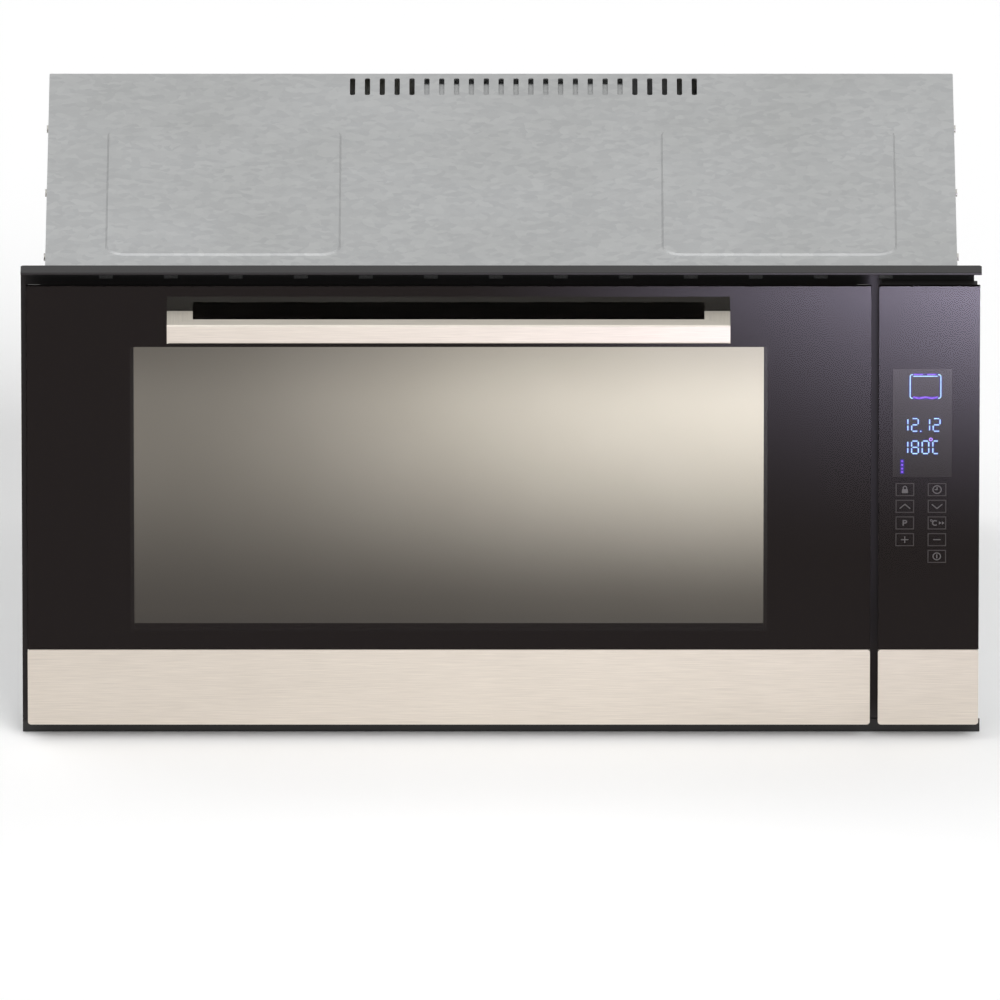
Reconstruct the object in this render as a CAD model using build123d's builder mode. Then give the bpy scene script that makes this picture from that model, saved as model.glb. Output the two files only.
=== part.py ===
"""Built-in oven, 90 cm wide and 48 cm high, with a drop-down door and a touch panel on its right.

Millimetres. +X is to the right, +Y to the back and +Z up. The origin is under the middle of the
oven, at half its whole depth, on the surface that it stands on.
"""

import os
from math import cos, radians, sin

from build123d import *

os.makedirs("parts", exist_ok=True)

# Whole oven
overall_width = 896.0
overall_height = 475.0
body_depth = 520.0
flange_setback = 20.0
panel_right_margin = 1.5
door_top_gap = 11.5
well_top_gap = 23.0
housing_side_inset = 23.0
housing_top_inset = 19.0
fixing_inset = 13.0
handle_projection = 34.0

# Sheets and clearances
sheet = 1.2
thin_sheet = 0.8
enamel_sheet = 1.0
glass_thickness = 4.0
seat_gap = 0.3
running_clearance = 0.05
well_clearance = 3.0

# Trims round the fascia
left_trim_width = 4.5
trim_gap = 0.5
hood_thickness = 3.0
hood_depth = 14.0
hood_leg = 1.8
bottom_trim_height = 13.0
bottom_trim_return = 10.0
right_flange_inset = 7.0

# Fascia panels
door_bottom = 15.5
panel_gap = 7.5
panel_width = 94.0
left_margin = trim_gap + left_trim_width
door_width = overall_width - left_margin - panel_gap - panel_width - panel_right_margin
door_height = overall_height - door_bottom - door_top_gap
strip_height = 76.7
strip_gap = 0.5
strip_return = 6.0
strip_corner = 3.0
glass_corner = 1.5

# Front frame
flange_fixing_x = overall_width / 2 - fixing_inset
flange_fixing_z = 0.4 * overall_height
flange_fixing_middle = door_bottom + door_height / 2 + 0.5
fixing_hole_radius = 2.25
well_depth = 22.0
well_top = overall_height - well_top_gap
well_low = 12.0
vent_slot_count = 13
vent_slot_margin = 54.1
vent_slot_pitch = (overall_width - 2 * vent_slot_margin) / vent_slot_count
vent_slot_length = 13.0
vent_slot_drop = 12.7
vent_slot_low = overall_height - vent_slot_drop
vent_slot_height = 6.0
vent_slot_middle = -5.0

# Housing
housing_half_width = overall_width / 2 - housing_side_inset
housing_height = overall_height - housing_top_inset
skid_height = 4.0
skid_width = 30.0
skid_spacing = 300.0
rear_cover_depth = 25.0
rear_cover_width = 230.0
rear_cover_height = 210.0

# Cavity
cavity_side_wall = 64.0
cavity_top_and_floor = 130.0
cavity_rear_room = 110.0
cavity_width = door_width - 2 * cavity_side_wall
cavity_height = door_height - cavity_top_and_floor
cavity_depth = body_depth - cavity_rear_room
cavity_floor = 92.0
cavity_corner = 14.0
cavity_flange = 8.0

# Door
pane_lap = 5.0
pane_width = cavity_width + 2 * pane_lap
pane_low = 98.0
pane_height = cavity_height + 4
middle_pane_depth = 13.0
inner_pane_depth = 33.0
door_thickness = 38.0
liner_wall = 1.0
liner_flange_depth = 17.0
liner_top_inset = 35.5
liner_top = door_bottom + door_height - liner_top_inset
liner_border = 12.0
side_profile_width = 17.0
profile_wall = 1.5
cap_top_inset = 8.5
cap_top = door_bottom + door_height - cap_top_inset
cap_wall = 2.0
end_cap_height = 7.5
end_cap_width = 11.0

# Handle
handle_side_inset = 131.5
handle_length = door_width - 2 * handle_side_inset
handle_height = 18.7
handle_bar_depth = 14.0
handle_low = door_bottom + door_height - 43.5
bracket_width = 24.0
handle_edge = 1.6
gasket = 0.5
handle_screw_radius = 2.5
handle_screw_grip = 15.0
handle_screw_head = 5.0
handle_screw_head_height = 3.5

# Door hinges
hinge_inset = 34.0
hinge_spacing = door_width - 2 * hinge_inset
pivot_depth = 11.0
pivot_height = 21.5
pivot_radius = 3.0
arm_boss = 4.7
arm_thickness = 4.0
arm_reach = 30.0
arm_low = 24.0
arm_high = 44.0
channel_width = 18.0
channel_wall = 1.5
channel_front = 6.0
channel_back = 30.0
channel_low = 17.0
channel_top = 200.0
spring_seat = 72.0
spring_length = 104.0
spring_radius = 5.5
spring_wire = 1.8
spring_turns = 13
spring_wire_sides = 12
rod_radius = 2.5
rod_low = 50.0

# Places worked out from the sizes
total_depth = handle_projection + flange_setback + body_depth
glass_front = handle_projection - total_depth / 2
flange_front = glass_front + flange_setback
flange_back = flange_front + sheet
well_back = flange_front + well_depth
body_back = flange_front + body_depth
rear_plane = body_back - rear_cover_depth
half_width = overall_width / 2
hood_low = overall_height - hood_thickness
plate_right = half_width - right_flange_inset
door_left = trim_gap + left_trim_width - half_width
door_right = door_left + door_width
door_middle = (door_left + door_right) / 2
door_top = door_bottom + door_height
strip_top = door_bottom + strip_height
panel_left = door_right + panel_gap
panel_right = panel_left + panel_width
well_left = sheet - housing_half_width
liner_left = well_left + well_clearance
liner_right = 2 * door_middle - liner_left
well_right = liner_right + well_clearance
cavity_left = door_middle - cavity_width / 2
cavity_right = door_middle + cavity_width / 2
cavity_top = cavity_floor + cavity_height
front_plate_back = well_back + sheet
cavity_back = front_plate_back + cavity_depth
door_back = glass_front + door_thickness
pane_left = door_middle - pane_width / 2
pane_right = door_middle + pane_width / 2
hinge_places = (door_middle - hinge_spacing / 2, door_middle + hinge_spacing / 2)
pivot_y = glass_front + pivot_depth


def facing(y):
    """The plane across the oven at a depth: its x is X, its y is Z, and its normal points forward."""
    return Plane.XZ.offset(-y)


def beside(x):
    """The plane along the oven at a side position: its x is Y, its y is Z, its normal points right."""
    return Plane.YZ.offset(x)


def span(left, right, low, high, mode=Mode.ADD):
    """A rectangle given by its four edges."""
    with Locations(((left + right) / 2, (low + high) / 2)):
        Rectangle(right - left, high - low, mode=mode)


# Front frame: a flange that laps the cabinet, and the well that the door closes into
with BuildPart() as front_frame:
    with BuildSketch(facing(flange_front)):
        span(-half_width, plate_right, sheet, hood_low)
        span(well_left, well_right, well_low, well_top, Mode.SUBTRACT)
        span(panel_left + 12, panel_right - 30, door_bottom + 40, door_top - 30, Mode.SUBTRACT)
        with Locations((vent_slot_middle, vent_slot_low + vent_slot_height / 2)):
            with GridLocations(vent_slot_pitch, 1, vent_slot_count, 1):
                Rectangle(vent_slot_length, vent_slot_height, mode=Mode.SUBTRACT)
        with Locations((0, flange_fixing_middle)):
            with GridLocations(2 * flange_fixing_x, 2 * flange_fixing_z, 2, 2):
                Circle(fixing_hole_radius, mode=Mode.SUBTRACT)
    extrude(amount=-sheet)
    with BuildSketch(facing(flange_back)):
        span(well_left - sheet, well_right + sheet, well_low - sheet, well_top + sheet)
        span(well_left, well_right, well_low, well_top, Mode.SUBTRACT)
    extrude(amount=-(well_depth - sheet))
front_frame.part.label = "front_frame"
front_frame.part.color = Color(0.1, 0.1, 0.1)

# Hood over the fascia, with a short leg that hooks behind the flange
with BuildPart() as top_trim:
    with BuildSketch(beside(-half_width)):
        span(flange_front - hood_depth, flange_back + sheet, hood_low, overall_height)
        span(flange_back, flange_back + sheet, hood_low - hood_leg, hood_low)
    extrude(amount=overall_width)
    hood_ends = top_trim.edges().filter_by(Axis.Z).group_by(Axis.Y)[-1]
    chamfer([hood_ends.sort_by(Axis.X)[0], hood_ends.sort_by(Axis.X)[-1]], length=hood_leg)
    fillet(top_trim.edges().filter_by(Axis.X).group_by(Axis.Y)[0], radius=hood_thickness / 3)
top_trim.part.label = "top_trim"

# Strip under the door, wrapped under the flange
with BuildPart() as bottom_trim:
    with BuildSketch(beside(-half_width)):
        span(flange_front - sheet, flange_front, 0, bottom_trim_height)
        span(flange_front, flange_front + bottom_trim_return, 0, sheet)
    extrude(amount=overall_width)
bottom_trim.part.label = "bottom_trim"

with BuildPart() as left_side_trim:
    with BuildSketch(facing(flange_front)):
        span(-half_width, left_trim_width - half_width, bottom_trim_height + trim_gap, hood_low)
    extrude(amount=sheet)
left_side_trim.part.label = "left_side_trim"


# Steel strips and glass of the door and the control panel
def steel_strip(left, right):
    """A folded tray of thin steel, rounded at its corners, that faces the lower part of a panel."""
    with BuildPart() as strip:
        with BuildSketch(facing(glass_front)) as outline:
            span(left, right, door_bottom, strip_top)
            fillet(outline.vertices(), radius=strip_corner)
        extrude(amount=-strip_return)
        with BuildSketch(facing(glass_front + thin_sheet)) as inside:
            span(left + thin_sheet, right - thin_sheet, door_bottom + thin_sheet, strip_top - thin_sheet)
            fillet(inside.vertices(), radius=strip_corner - thin_sheet)
        extrude(amount=-strip_return, mode=Mode.SUBTRACT)
    return strip


def front_glass(left, right, holes=()):
    """A front pane with small rounded corners and round holes."""
    with BuildPart() as pane:
        with BuildSketch(facing(glass_front)) as outline:
            span(left, right, strip_top + strip_gap, door_top)
            fillet(outline.vertices(), radius=glass_corner)
            if holes:
                with Locations(*holes):
                    Circle(handle_screw_radius + 1, mode=Mode.SUBTRACT)
        extrude(amount=-glass_thickness)
    return pane


handle_left = door_middle - handle_length / 2
handle_right = door_middle + handle_length / 2
handle_high = handle_low + handle_height
handle_middle = (handle_low + handle_high) / 2
handle_front = glass_front - handle_projection
bar_back = handle_front + handle_bar_depth
bracket_back = glass_front - gasket
screw_places = [
    (handle_left + bracket_width / 2, handle_middle),
    (handle_right - bracket_width / 2, handle_middle),
]

door_bottom_strip = steel_strip(door_left, door_right)
door_bottom_strip.part.label = "door_bottom_strip"
door_outer_glass = front_glass(door_left, door_right, screw_places)
door_outer_glass.part.label = "door_outer_glass"
control_panel_strip = steel_strip(panel_left, panel_right)
control_panel_strip.part.label = "control_panel_strip"
control_panel_glass = front_glass(panel_left, panel_right)
control_panel_glass.part.label = "control_panel_glass"

# Handle: a bar mitred to two brackets, each on a gasket and held by a screw through the glass
with BuildPart() as handle_bar:
    with BuildSketch(Plane.XY.offset(handle_low)):
        with BuildLine():
            Polyline(
                (handle_left, handle_front),
                (handle_right, handle_front),
                (handle_right - bracket_width, bar_back),
                (handle_left + bracket_width, bar_back),
                close=True,
            )
        make_face()
    extrude(amount=handle_height)
    fillet(handle_bar.edges().filter_by(Axis.X).group_by(Axis.Y)[0], radius=handle_edge)
handle_bar.part.label = "handle_bar"


with BuildPart() as handle_brackets:
    for outer, inner in (
        (handle_left, handle_left + bracket_width),
        (handle_right, handle_right - bracket_width),
    ):
        with BuildSketch(Plane.XY.offset(handle_low)):
            with BuildLine():
                Polyline(
                    (outer, handle_front),
                    (inner, bar_back),
                    (inner, bracket_back),
                    (outer, bracket_back),
                    close=True,
                )
            make_face()
        extrude(amount=handle_height)
    with BuildSketch(facing(bracket_back)):
        with Locations(*screw_places):
            Circle(handle_screw_radius + running_clearance)
    extrude(amount=handle_screw_grip, mode=Mode.SUBTRACT)
handle_brackets.part.label = "handle_brackets"

with BuildPart() as handle_gaskets:
    with BuildSketch(facing(glass_front)):
        with Locations(*screw_places):
            Rectangle(bracket_width - 2, handle_height - 2)
            Circle(handle_screw_radius + 1, mode=Mode.SUBTRACT)
    extrude(amount=gasket)
handle_gaskets.part.label = "handle_gaskets"

with BuildPart() as handle_screws:
    with BuildSketch(facing(glass_front + glass_thickness)):
        with Locations(*screw_places):
            Circle(handle_screw_radius)
    extrude(amount=glass_thickness + gasket + handle_screw_grip - 2)
    with BuildSketch(facing(glass_front + glass_thickness)):
        with Locations(*screw_places):
            Circle(handle_screw_head)
    extrude(amount=-handle_screw_head_height)
    chamfer(handle_screws.edges().group_by(Axis.Y)[-1], length=0.8)
handle_screws.part.label = "handle_screws"

# Door carcass: side profiles, bottom profile, top cap, liner and the two inner panes
profile_front = glass_front + glass_thickness
liner_front = glass_front + liner_flange_depth
profile_low = strip_top + strip_gap
profile_top = liner_top
profile_inset = 2.0


with BuildPart() as door_side_profiles:
    for outer, direction in ((door_left + profile_inset, 1), (door_right - profile_inset, -1)):
        inner = outer + direction * side_profile_width
        with BuildSketch(Plane.XY.offset(profile_low)):
            with BuildLine():
                Polyline(
                    (outer, profile_front),
                    (inner, profile_front),
                    (inner, profile_front + profile_wall),
                    (outer + direction * profile_wall, profile_front + profile_wall),
                    (outer + direction * profile_wall, liner_front - profile_wall),
                    (inner, liner_front - profile_wall),
                    (inner, liner_front),
                    (outer, liner_front),
                    close=True,
                )
            make_face()
        extrude(amount=profile_top - profile_low)
door_side_profiles.part.label = "door_side_profiles"

bottom_profile_low = door_bottom + thin_sheet + 1
channel_half = channel_width / 2
with BuildPart() as door_bottom_profile:
    with BuildSketch(facing(glass_front + thin_sheet)):
        span(door_left + 3, door_right - 3, bottom_profile_low, strip_top - thin_sheet - 1)
    extrude(amount=-liner_wall)
    with BuildSketch(facing(glass_front + thin_sheet + liner_wall)):
        span(
            hinge_places[0] + channel_half + 4,
            hinge_places[1] - channel_half - 4,
            strip_top - thin_sheet - 1 - liner_wall,
            strip_top - thin_sheet - 1,
        )
    extrude(amount=-(liner_flange_depth - thin_sheet - liner_wall))
    with BuildSketch(facing(glass_front + thin_sheet + liner_wall)):
        for side in (door_left + 3, door_right - 3 - liner_wall):
            span(side, side + liner_wall, bottom_profile_low, strip_top - thin_sheet - 1)
    extrude(amount=-(liner_flange_depth - thin_sheet - liner_wall))
door_bottom_profile.part.label = "door_bottom_profile"

cap_low = liner_top + seat_gap
with BuildPart() as door_top_cap:
    with BuildSketch(beside(door_left + profile_inset)):
        with BuildLine():
            Polyline(
                (profile_front, cap_low),
                (profile_front, cap_top),
                (profile_front + 4, cap_top),
                (liner_front, cap_top - 8),
                (liner_front, cap_low),
                close=True,
            )
        make_face()
        offset(amount=-cap_wall, mode=Mode.SUBTRACT)
    extrude(amount=door_width - 2 * profile_inset)
    with BuildSketch(beside(liner_left)):
        with BuildLine():
            Polyline(
                (liner_front, cap_top - 8),
                (door_back - 2, cap_low + cap_wall),
                (door_back - 2, cap_low),
                (liner_front, cap_low),
                close=True,
            )
        make_face()
    extrude(amount=liner_right - liner_left)
    with BuildSketch(facing(profile_front)):
        with Locations(*screw_places):
            Circle(handle_screw_head + 1)
    extrude(amount=-(handle_screw_head_height + 1), mode=Mode.SUBTRACT)
door_top_cap.part.label = "door_top_cap"

with BuildPart() as door_end_caps:
    with BuildSketch(facing(profile_front + 1)):
        for side in (door_left + profile_inset, door_right - profile_inset - end_cap_width):
            span(side, side + end_cap_width, cap_top, cap_top + end_cap_height)
    extrude(amount=-cap_wall)
    with BuildSketch(facing(profile_front + 1)):
        for side in (door_left + profile_inset, door_right - profile_inset - cap_wall):
            span(side, side + cap_wall, cap_top, cap_top + end_cap_height)
    extrude(amount=-(liner_flange_depth - glass_thickness - 11))
door_end_caps.part.label = "door_end_caps"

slot_half = arm_thickness / 2 + 3
channel_front_y = glass_front + channel_front
channel_back_y = glass_front + channel_back
with BuildPart() as door_liner:
    with BuildSketch(facing(liner_front)):
        span(door_left + 4, door_right - 4, door_bottom + 2, liner_top)
        span(liner_left + liner_wall, liner_right - liner_wall, door_bottom + 3, liner_top - liner_wall,
             Mode.SUBTRACT)
    extrude(amount=-liner_wall)
    with BuildSketch(facing(liner_front)):
        span(liner_left, liner_right, door_bottom + 2, liner_top)
        span(liner_left + liner_wall, liner_right - liner_wall, door_bottom + 3, liner_top - liner_wall,
             Mode.SUBTRACT)
    extrude(amount=-(door_thickness - liner_flange_depth))
    with BuildSketch(facing(door_back)):
        span(liner_left, liner_right, door_bottom + 2, liner_top)
        span(
            pane_left + liner_border,
            pane_right - liner_border,
            pane_low + liner_border,
            pane_low + pane_height - liner_border,
            Mode.SUBTRACT,
        )
    extrude(amount=liner_wall)
    with BuildSketch(Plane.XY.offset(door_bottom)):
        for place in hinge_places:
            span(place - slot_half, place + slot_half, pivot_y - 10, door_back + 1)
    extrude(amount=arm_high + 6 - door_bottom, mode=Mode.SUBTRACT)
    with BuildSketch(Plane.XY.offset(door_bottom)):
        for place in hinge_places:
            span(place - channel_half - 1, place + channel_half + 1, liner_front - 1, channel_back_y + 1)
    extrude(amount=4, mode=Mode.SUBTRACT)
door_liner.part.label = "door_liner"


def inner_pane(depth):
    """A pane inside the door, with ground corners."""
    with BuildPart() as pane:
        with BuildSketch(facing(glass_front + depth)) as outline:
            span(pane_left, pane_right, pane_low, pane_low + pane_height)
            fillet(outline.vertices(), radius=glass_corner * 2)
        extrude(amount=-glass_thickness)
    return pane


door_middle_glass = inner_pane(middle_pane_depth)
door_middle_glass.part.label = "door_middle_glass"
door_inner_glass = inner_pane(inner_pane_depth)
door_inner_glass.part.label = "door_inner_glass"

rail_lip = 6.0
rail_wall = 2.0


with BuildPart() as glass_rails:
    rail_front = glass_front + middle_pane_depth - rail_wall
    rail_back = glass_front + inner_pane_depth - seat_gap
    groove_back = glass_front + middle_pane_depth + glass_thickness
    for edge, direction in ((pane_left, 1), (pane_right, -1)):
        outer = edge - direction * (rail_wall + seat_gap)
        groove_edge = edge - direction * seat_gap
        tip = edge + direction * rail_lip
        with BuildSketch(Plane.XY.offset(pane_low)):
            span(*sorted((outer, tip)), rail_front, rail_back)
            span(*sorted((groove_edge, tip)), glass_front + middle_pane_depth, groove_back, Mode.SUBTRACT)
            span(*sorted((groove_edge, tip)), groove_back + rail_wall, rail_back - rail_wall, Mode.SUBTRACT)
        extrude(amount=pane_height)
glass_rails.part.label = "glass_rails"

# Door hinges: a channel with a spring and rod in the door, and an arm on the oven
rod_y = (channel_front_y + channel_back_y) / 2
with BuildPart() as hinge_channels:
    for place in hinge_places:
        with BuildSketch(Plane.XY.offset(channel_low)):
            span(place - channel_half, place + channel_half, channel_front_y, channel_back_y)
            span(
                place - channel_half + channel_wall,
                place + channel_half - channel_wall,
                channel_front_y + channel_wall,
                channel_back_y + 1,
                Mode.SUBTRACT,
            )
        extrude(amount=channel_top - channel_low)
        with BuildSketch(Plane.XY.offset(spring_seat - channel_wall)):
            span(
                place - channel_half + channel_wall,
                place + channel_half - channel_wall,
                channel_front_y + channel_wall,
                channel_back_y,
            )
            with Locations((place, rod_y)):
                Circle(rod_radius + 2 * running_clearance, mode=Mode.SUBTRACT)
        extrude(amount=channel_wall)
        with BuildSketch(facing(channel_front_y)):
            span(place - slot_half, place + slot_half, channel_low, arm_high)
        extrude(amount=-channel_wall, mode=Mode.SUBTRACT)
        with BuildSketch(beside(place - channel_half)):
            with Locations((pivot_y, pivot_height)):
                Circle(pivot_radius + running_clearance)
        extrude(amount=channel_width, mode=Mode.SUBTRACT)
hinge_channels.part.label = "hinge_channels"

with BuildPart() as hinge_pins:
    for place in hinge_places:
        with BuildSketch(beside(place - channel_half - 1)):
            with Locations((pivot_y, pivot_height)):
                Circle(pivot_radius)
        extrude(amount=channel_width + 2)
hinge_pins.part.label = "hinge_pins"

arm_end = well_back + arm_reach
with BuildPart() as hinge_arms:
    for place in hinge_places:
        with BuildSketch(beside(place - arm_thickness / 2)):
            with BuildLine():
                Polyline(
                    (pivot_y, pivot_height - arm_boss),
                    (well_back, arm_low),
                    (arm_end, arm_low),
                    (arm_end, arm_high),
                    (well_back, arm_high),
                    (pivot_y, pivot_height + arm_boss),
                    close=True,
                )
            make_face()
            with Locations((pivot_y, pivot_height)):
                Circle(arm_boss)
                Circle(pivot_radius + running_clearance, mode=Mode.SUBTRACT)
        extrude(amount=arm_thickness)
hinge_arms.part.label = "hinge_arms"

receiver_wall = 2.0
with BuildPart() as hinge_receivers:
    for place in hinge_places:
        half = arm_thickness / 2 + seat_gap
        with BuildSketch(facing(front_plate_back)):
            span(place - half - receiver_wall, place + half + receiver_wall,
                 arm_low - seat_gap - receiver_wall, arm_high + seat_gap + receiver_wall)
            span(place - half, place + half, arm_low - seat_gap, arm_high + seat_gap, Mode.SUBTRACT)
        extrude(amount=-(arm_reach - sheet + 4))
        with BuildSketch(facing(arm_end + 4)):
            span(place - half - receiver_wall, place + half + receiver_wall,
                 arm_low - seat_gap - receiver_wall, arm_high + seat_gap + receiver_wall)
        extrude(amount=receiver_wall)
hinge_receivers.part.label = "hinge_receivers"

rod_top = spring_seat + spring_length
with BuildPart() as hinge_rods:
    for place in hinge_places:
        with BuildSketch(Plane.XY.offset(rod_low)):
            with Locations((place, rod_y)):
                Circle(rod_radius)
        extrude(amount=rod_top - rod_low)
        with BuildSketch(Plane.XY.offset(rod_top)):
            with Locations((place, rod_y)):
                Circle(spring_radius)
        extrude(amount=3)
hinge_rods.part.label = "hinge_rods"

with BuildPart() as hinge_springs:
    for place in hinge_places:
        start = Vector(place, rod_y, spring_seat + spring_wire / 2 + seat_gap)
        rise = spring_length - spring_wire - 2 * seat_gap
        with BuildLine() as coil:
            Helix(
                pitch=rise / spring_turns,
                height=rise,
                radius=spring_radius - spring_wire / 2,
                center=start,
            )
        with BuildSketch(Plane(coil.line @ 0, z_dir=coil.line % 0)):
            RegularPolygon(radius=spring_wire / 2, side_count=spring_wire_sides)
        sweep(is_frenet=True)
hinge_springs.part.label = "hinge_springs"

# Control panel: carrier, display and touch board behind the glass
carrier_inset = 2.5
carrier_wall = 2.0
carrier_back = flange_front - seat_gap
display_left = panel_left + 11.5
display_right = panel_right - 23.5
display_low = 262.0
display_high = 386.0
keys_low = 166.0
keys_pitch_x = 30.0
keys_pitch_z = 17.1
keys_left = 376.5
key_top = 256.3
board_thickness = 1.6
with BuildPart() as control_panel_carrier:
    with BuildSketch(facing(glass_front + glass_thickness)):
        span(panel_left + carrier_inset, panel_right - carrier_inset, strip_top + 1, door_top - 3)
    extrude(amount=-(carrier_back - glass_front - glass_thickness))
    with BuildSketch(facing(glass_front + thin_sheet)):
        span(panel_left + carrier_inset, panel_right - carrier_inset, door_bottom + 2, strip_top - 1.5)
    extrude(amount=-(carrier_back - glass_front - thin_sheet))
    with BuildSketch(facing(glass_front + glass_thickness + carrier_wall)):
        span(panel_left + carrier_inset, panel_right - carrier_inset, strip_top - 10, strip_top + 10)
    extrude(amount=-(carrier_back - glass_front - glass_thickness - carrier_wall))
    with BuildSketch(facing(glass_front + glass_thickness + carrier_wall)):
        inner = carrier_inset + carrier_wall
        span(panel_left + inner, panel_right - inner,
             strip_top + 1 + carrier_wall, door_top - 3 - carrier_wall)
    extrude(amount=-flange_setback, mode=Mode.SUBTRACT)
    with BuildSketch(facing(glass_front + thin_sheet + carrier_wall)):
        span(panel_left + inner, panel_right - inner, door_bottom + 2 + carrier_wall, strip_top - 3.5)
    extrude(amount=-flange_setback, mode=Mode.SUBTRACT)
    with BuildSketch(facing(glass_front + glass_thickness)):
        span(display_left, display_right, keys_low - 8, display_high)
    extrude(amount=-carrier_wall, mode=Mode.SUBTRACT)
control_panel_carrier.part.label = "control_panel_carrier"

with BuildPart() as display_module:
    with BuildSketch(facing(glass_front + glass_thickness + seat_gap)) as display_outline:
        span(display_left + 1, display_right - 1, display_low, display_high - 1)
        fillet(display_outline.vertices(), radius=2)
    extrude(amount=-9)
    with BuildSketch(facing(glass_front + glass_thickness + seat_gap + 9)):
        span(display_left + 6, display_right - 6, display_low + 6, display_high - 7)
    extrude(amount=-3)
display_module.part.label = "display_module"

with BuildPart() as touch_board:
    with BuildSketch(facing(glass_front + glass_thickness + 4)):
        span(display_left + 1, display_right - 1, keys_low - 6, display_low - 2)
    extrude(amount=-board_thickness)
    with BuildSketch(facing(glass_front + glass_thickness + 4)):
        for row in range(5):
            for column in range(2):
                if (row, column) != (4, 0):
                    with Locations((keys_left + column * keys_pitch_x, key_top - row * keys_pitch_z)):
                        Circle(5)
    extrude(amount=4 - seat_gap)
touch_board.part.label = "touch_board"

# Front plate of the oven, with the mouth, the cooling outlets and the hinge slots
outlet_low = well_top - 18
outlet_high = well_top - 3
outlet_count = 6
outlet_gap = 12.0
outlet_width = (cavity_width - 48) / outlet_count - outlet_gap
with BuildPart() as cavity_front_plate:
    with BuildSketch(facing(well_back)):
        span(well_left - sheet, well_right + sheet, well_low - sheet, well_top + sheet)
    extrude(amount=-sheet)
    with BuildSketch(facing(well_back)) as mouth:
        span(cavity_left, cavity_right, cavity_floor, cavity_top)
        fillet(mouth.vertices(), radius=cavity_corner)
    extrude(amount=-sheet, mode=Mode.SUBTRACT)
    with BuildSketch(facing(well_back)):
        with Locations((door_middle, (outlet_low + outlet_high) / 2)):
            with GridLocations(outlet_width + outlet_gap, 1, outlet_count, 1):
                SlotOverall(outlet_width, outlet_high - outlet_low)
        for place in hinge_places:
            half = arm_thickness / 2 + 0.5
            span(place - half, place + half, arm_low - 0.5, arm_high + 0.5)
    extrude(amount=-sheet, mode=Mode.SUBTRACT)
cavity_front_plate.part.label = "cavity_front_plate"

seal_inner = 6.0
seal_width = 9.0
seal_front = door_back + seat_gap
with BuildPart() as door_seal:
    with BuildSketch(facing(well_back)):
        outer = seal_inner + seal_width
        RectangleRounded(
            cavity_width + 2 * outer, cavity_height + 2 * outer, cavity_corner + outer
        )
        RectangleRounded(
            cavity_width + 2 * seal_inner,
            cavity_height + 2 * seal_inner,
            cavity_corner + seal_inner,
            mode=Mode.SUBTRACT,
        )
    extrude(amount=well_back - seal_front)
    fillet(door_seal.edges().group_by(Axis.Y)[0], radius=1.6)
door_seal.part = door_seal.part.moved(Location((door_middle, 0, (cavity_floor + cavity_top) / 2)))
door_seal.part.label = "door_seal"

# Enamelled cavity with its lamp, heaters, fan, cover and shelf supports
fan_z = (cavity_floor + cavity_top) / 2
lamp_x = cavity_left + 39
lamp_z = cavity_top - 42
lamp_radius = 26.0
shaft_radius = 4.0
with BuildPart() as oven_cavity:
    with BuildSketch(facing(front_plate_back)) as shell:
        span(cavity_left - enamel_sheet, cavity_right + enamel_sheet,
             cavity_floor - enamel_sheet, cavity_top + enamel_sheet)
        fillet(shell.vertices(), radius=cavity_corner + enamel_sheet)
    extrude(amount=-(cavity_depth + enamel_sheet))
    with BuildSketch(facing(front_plate_back)) as hollow:
        span(cavity_left, cavity_right, cavity_floor, cavity_top)
        fillet(hollow.vertices(), radius=cavity_corner)
    extrude(amount=-cavity_depth, mode=Mode.SUBTRACT)
    with BuildSketch(facing(front_plate_back)) as lip:
        wide = cavity_flange
        span(cavity_left - wide, cavity_right + wide, cavity_floor - wide, cavity_top + wide)
        fillet(lip.vertices(), radius=cavity_corner + wide)
        span(cavity_left - enamel_sheet, cavity_right + enamel_sheet,
             cavity_floor - enamel_sheet, cavity_top + enamel_sheet, Mode.SUBTRACT)
    extrude(amount=-enamel_sheet)
    with BuildSketch(facing(cavity_back)):
        with Locations((door_middle, fan_z)):
            Circle(shaft_radius + 6)
        with Locations((lamp_x, lamp_z)):
            Circle(lamp_radius - 5)
    extrude(amount=-enamel_sheet, mode=Mode.SUBTRACT)
oven_cavity.part.label = "oven_cavity"

lamp_depth = 22.0
with BuildPart() as lamp_holder:
    with BuildSketch(facing(cavity_back + enamel_sheet)):
        with Locations((lamp_x, lamp_z)):
            Circle(lamp_radius)
    extrude(amount=-2)
    with BuildSketch(facing(cavity_back + enamel_sheet)):
        with Locations((lamp_x, lamp_z)):
            Circle(lamp_radius - 8)
    extrude(amount=-lamp_depth)
lamp_holder.part.label = "lamp_holder"

lamp_dome = 20.0
with BuildPart() as lamp_cover:
    with BuildSketch(facing(cavity_back)):
        with Locations((lamp_x, lamp_z)):
            Circle(lamp_radius)
    extrude(amount=lamp_dome)
    fillet(lamp_cover.edges().group_by(Axis.Y)[0], radius=lamp_dome * 0.7)
lamp_cover.part.label = "lamp_cover"

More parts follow.
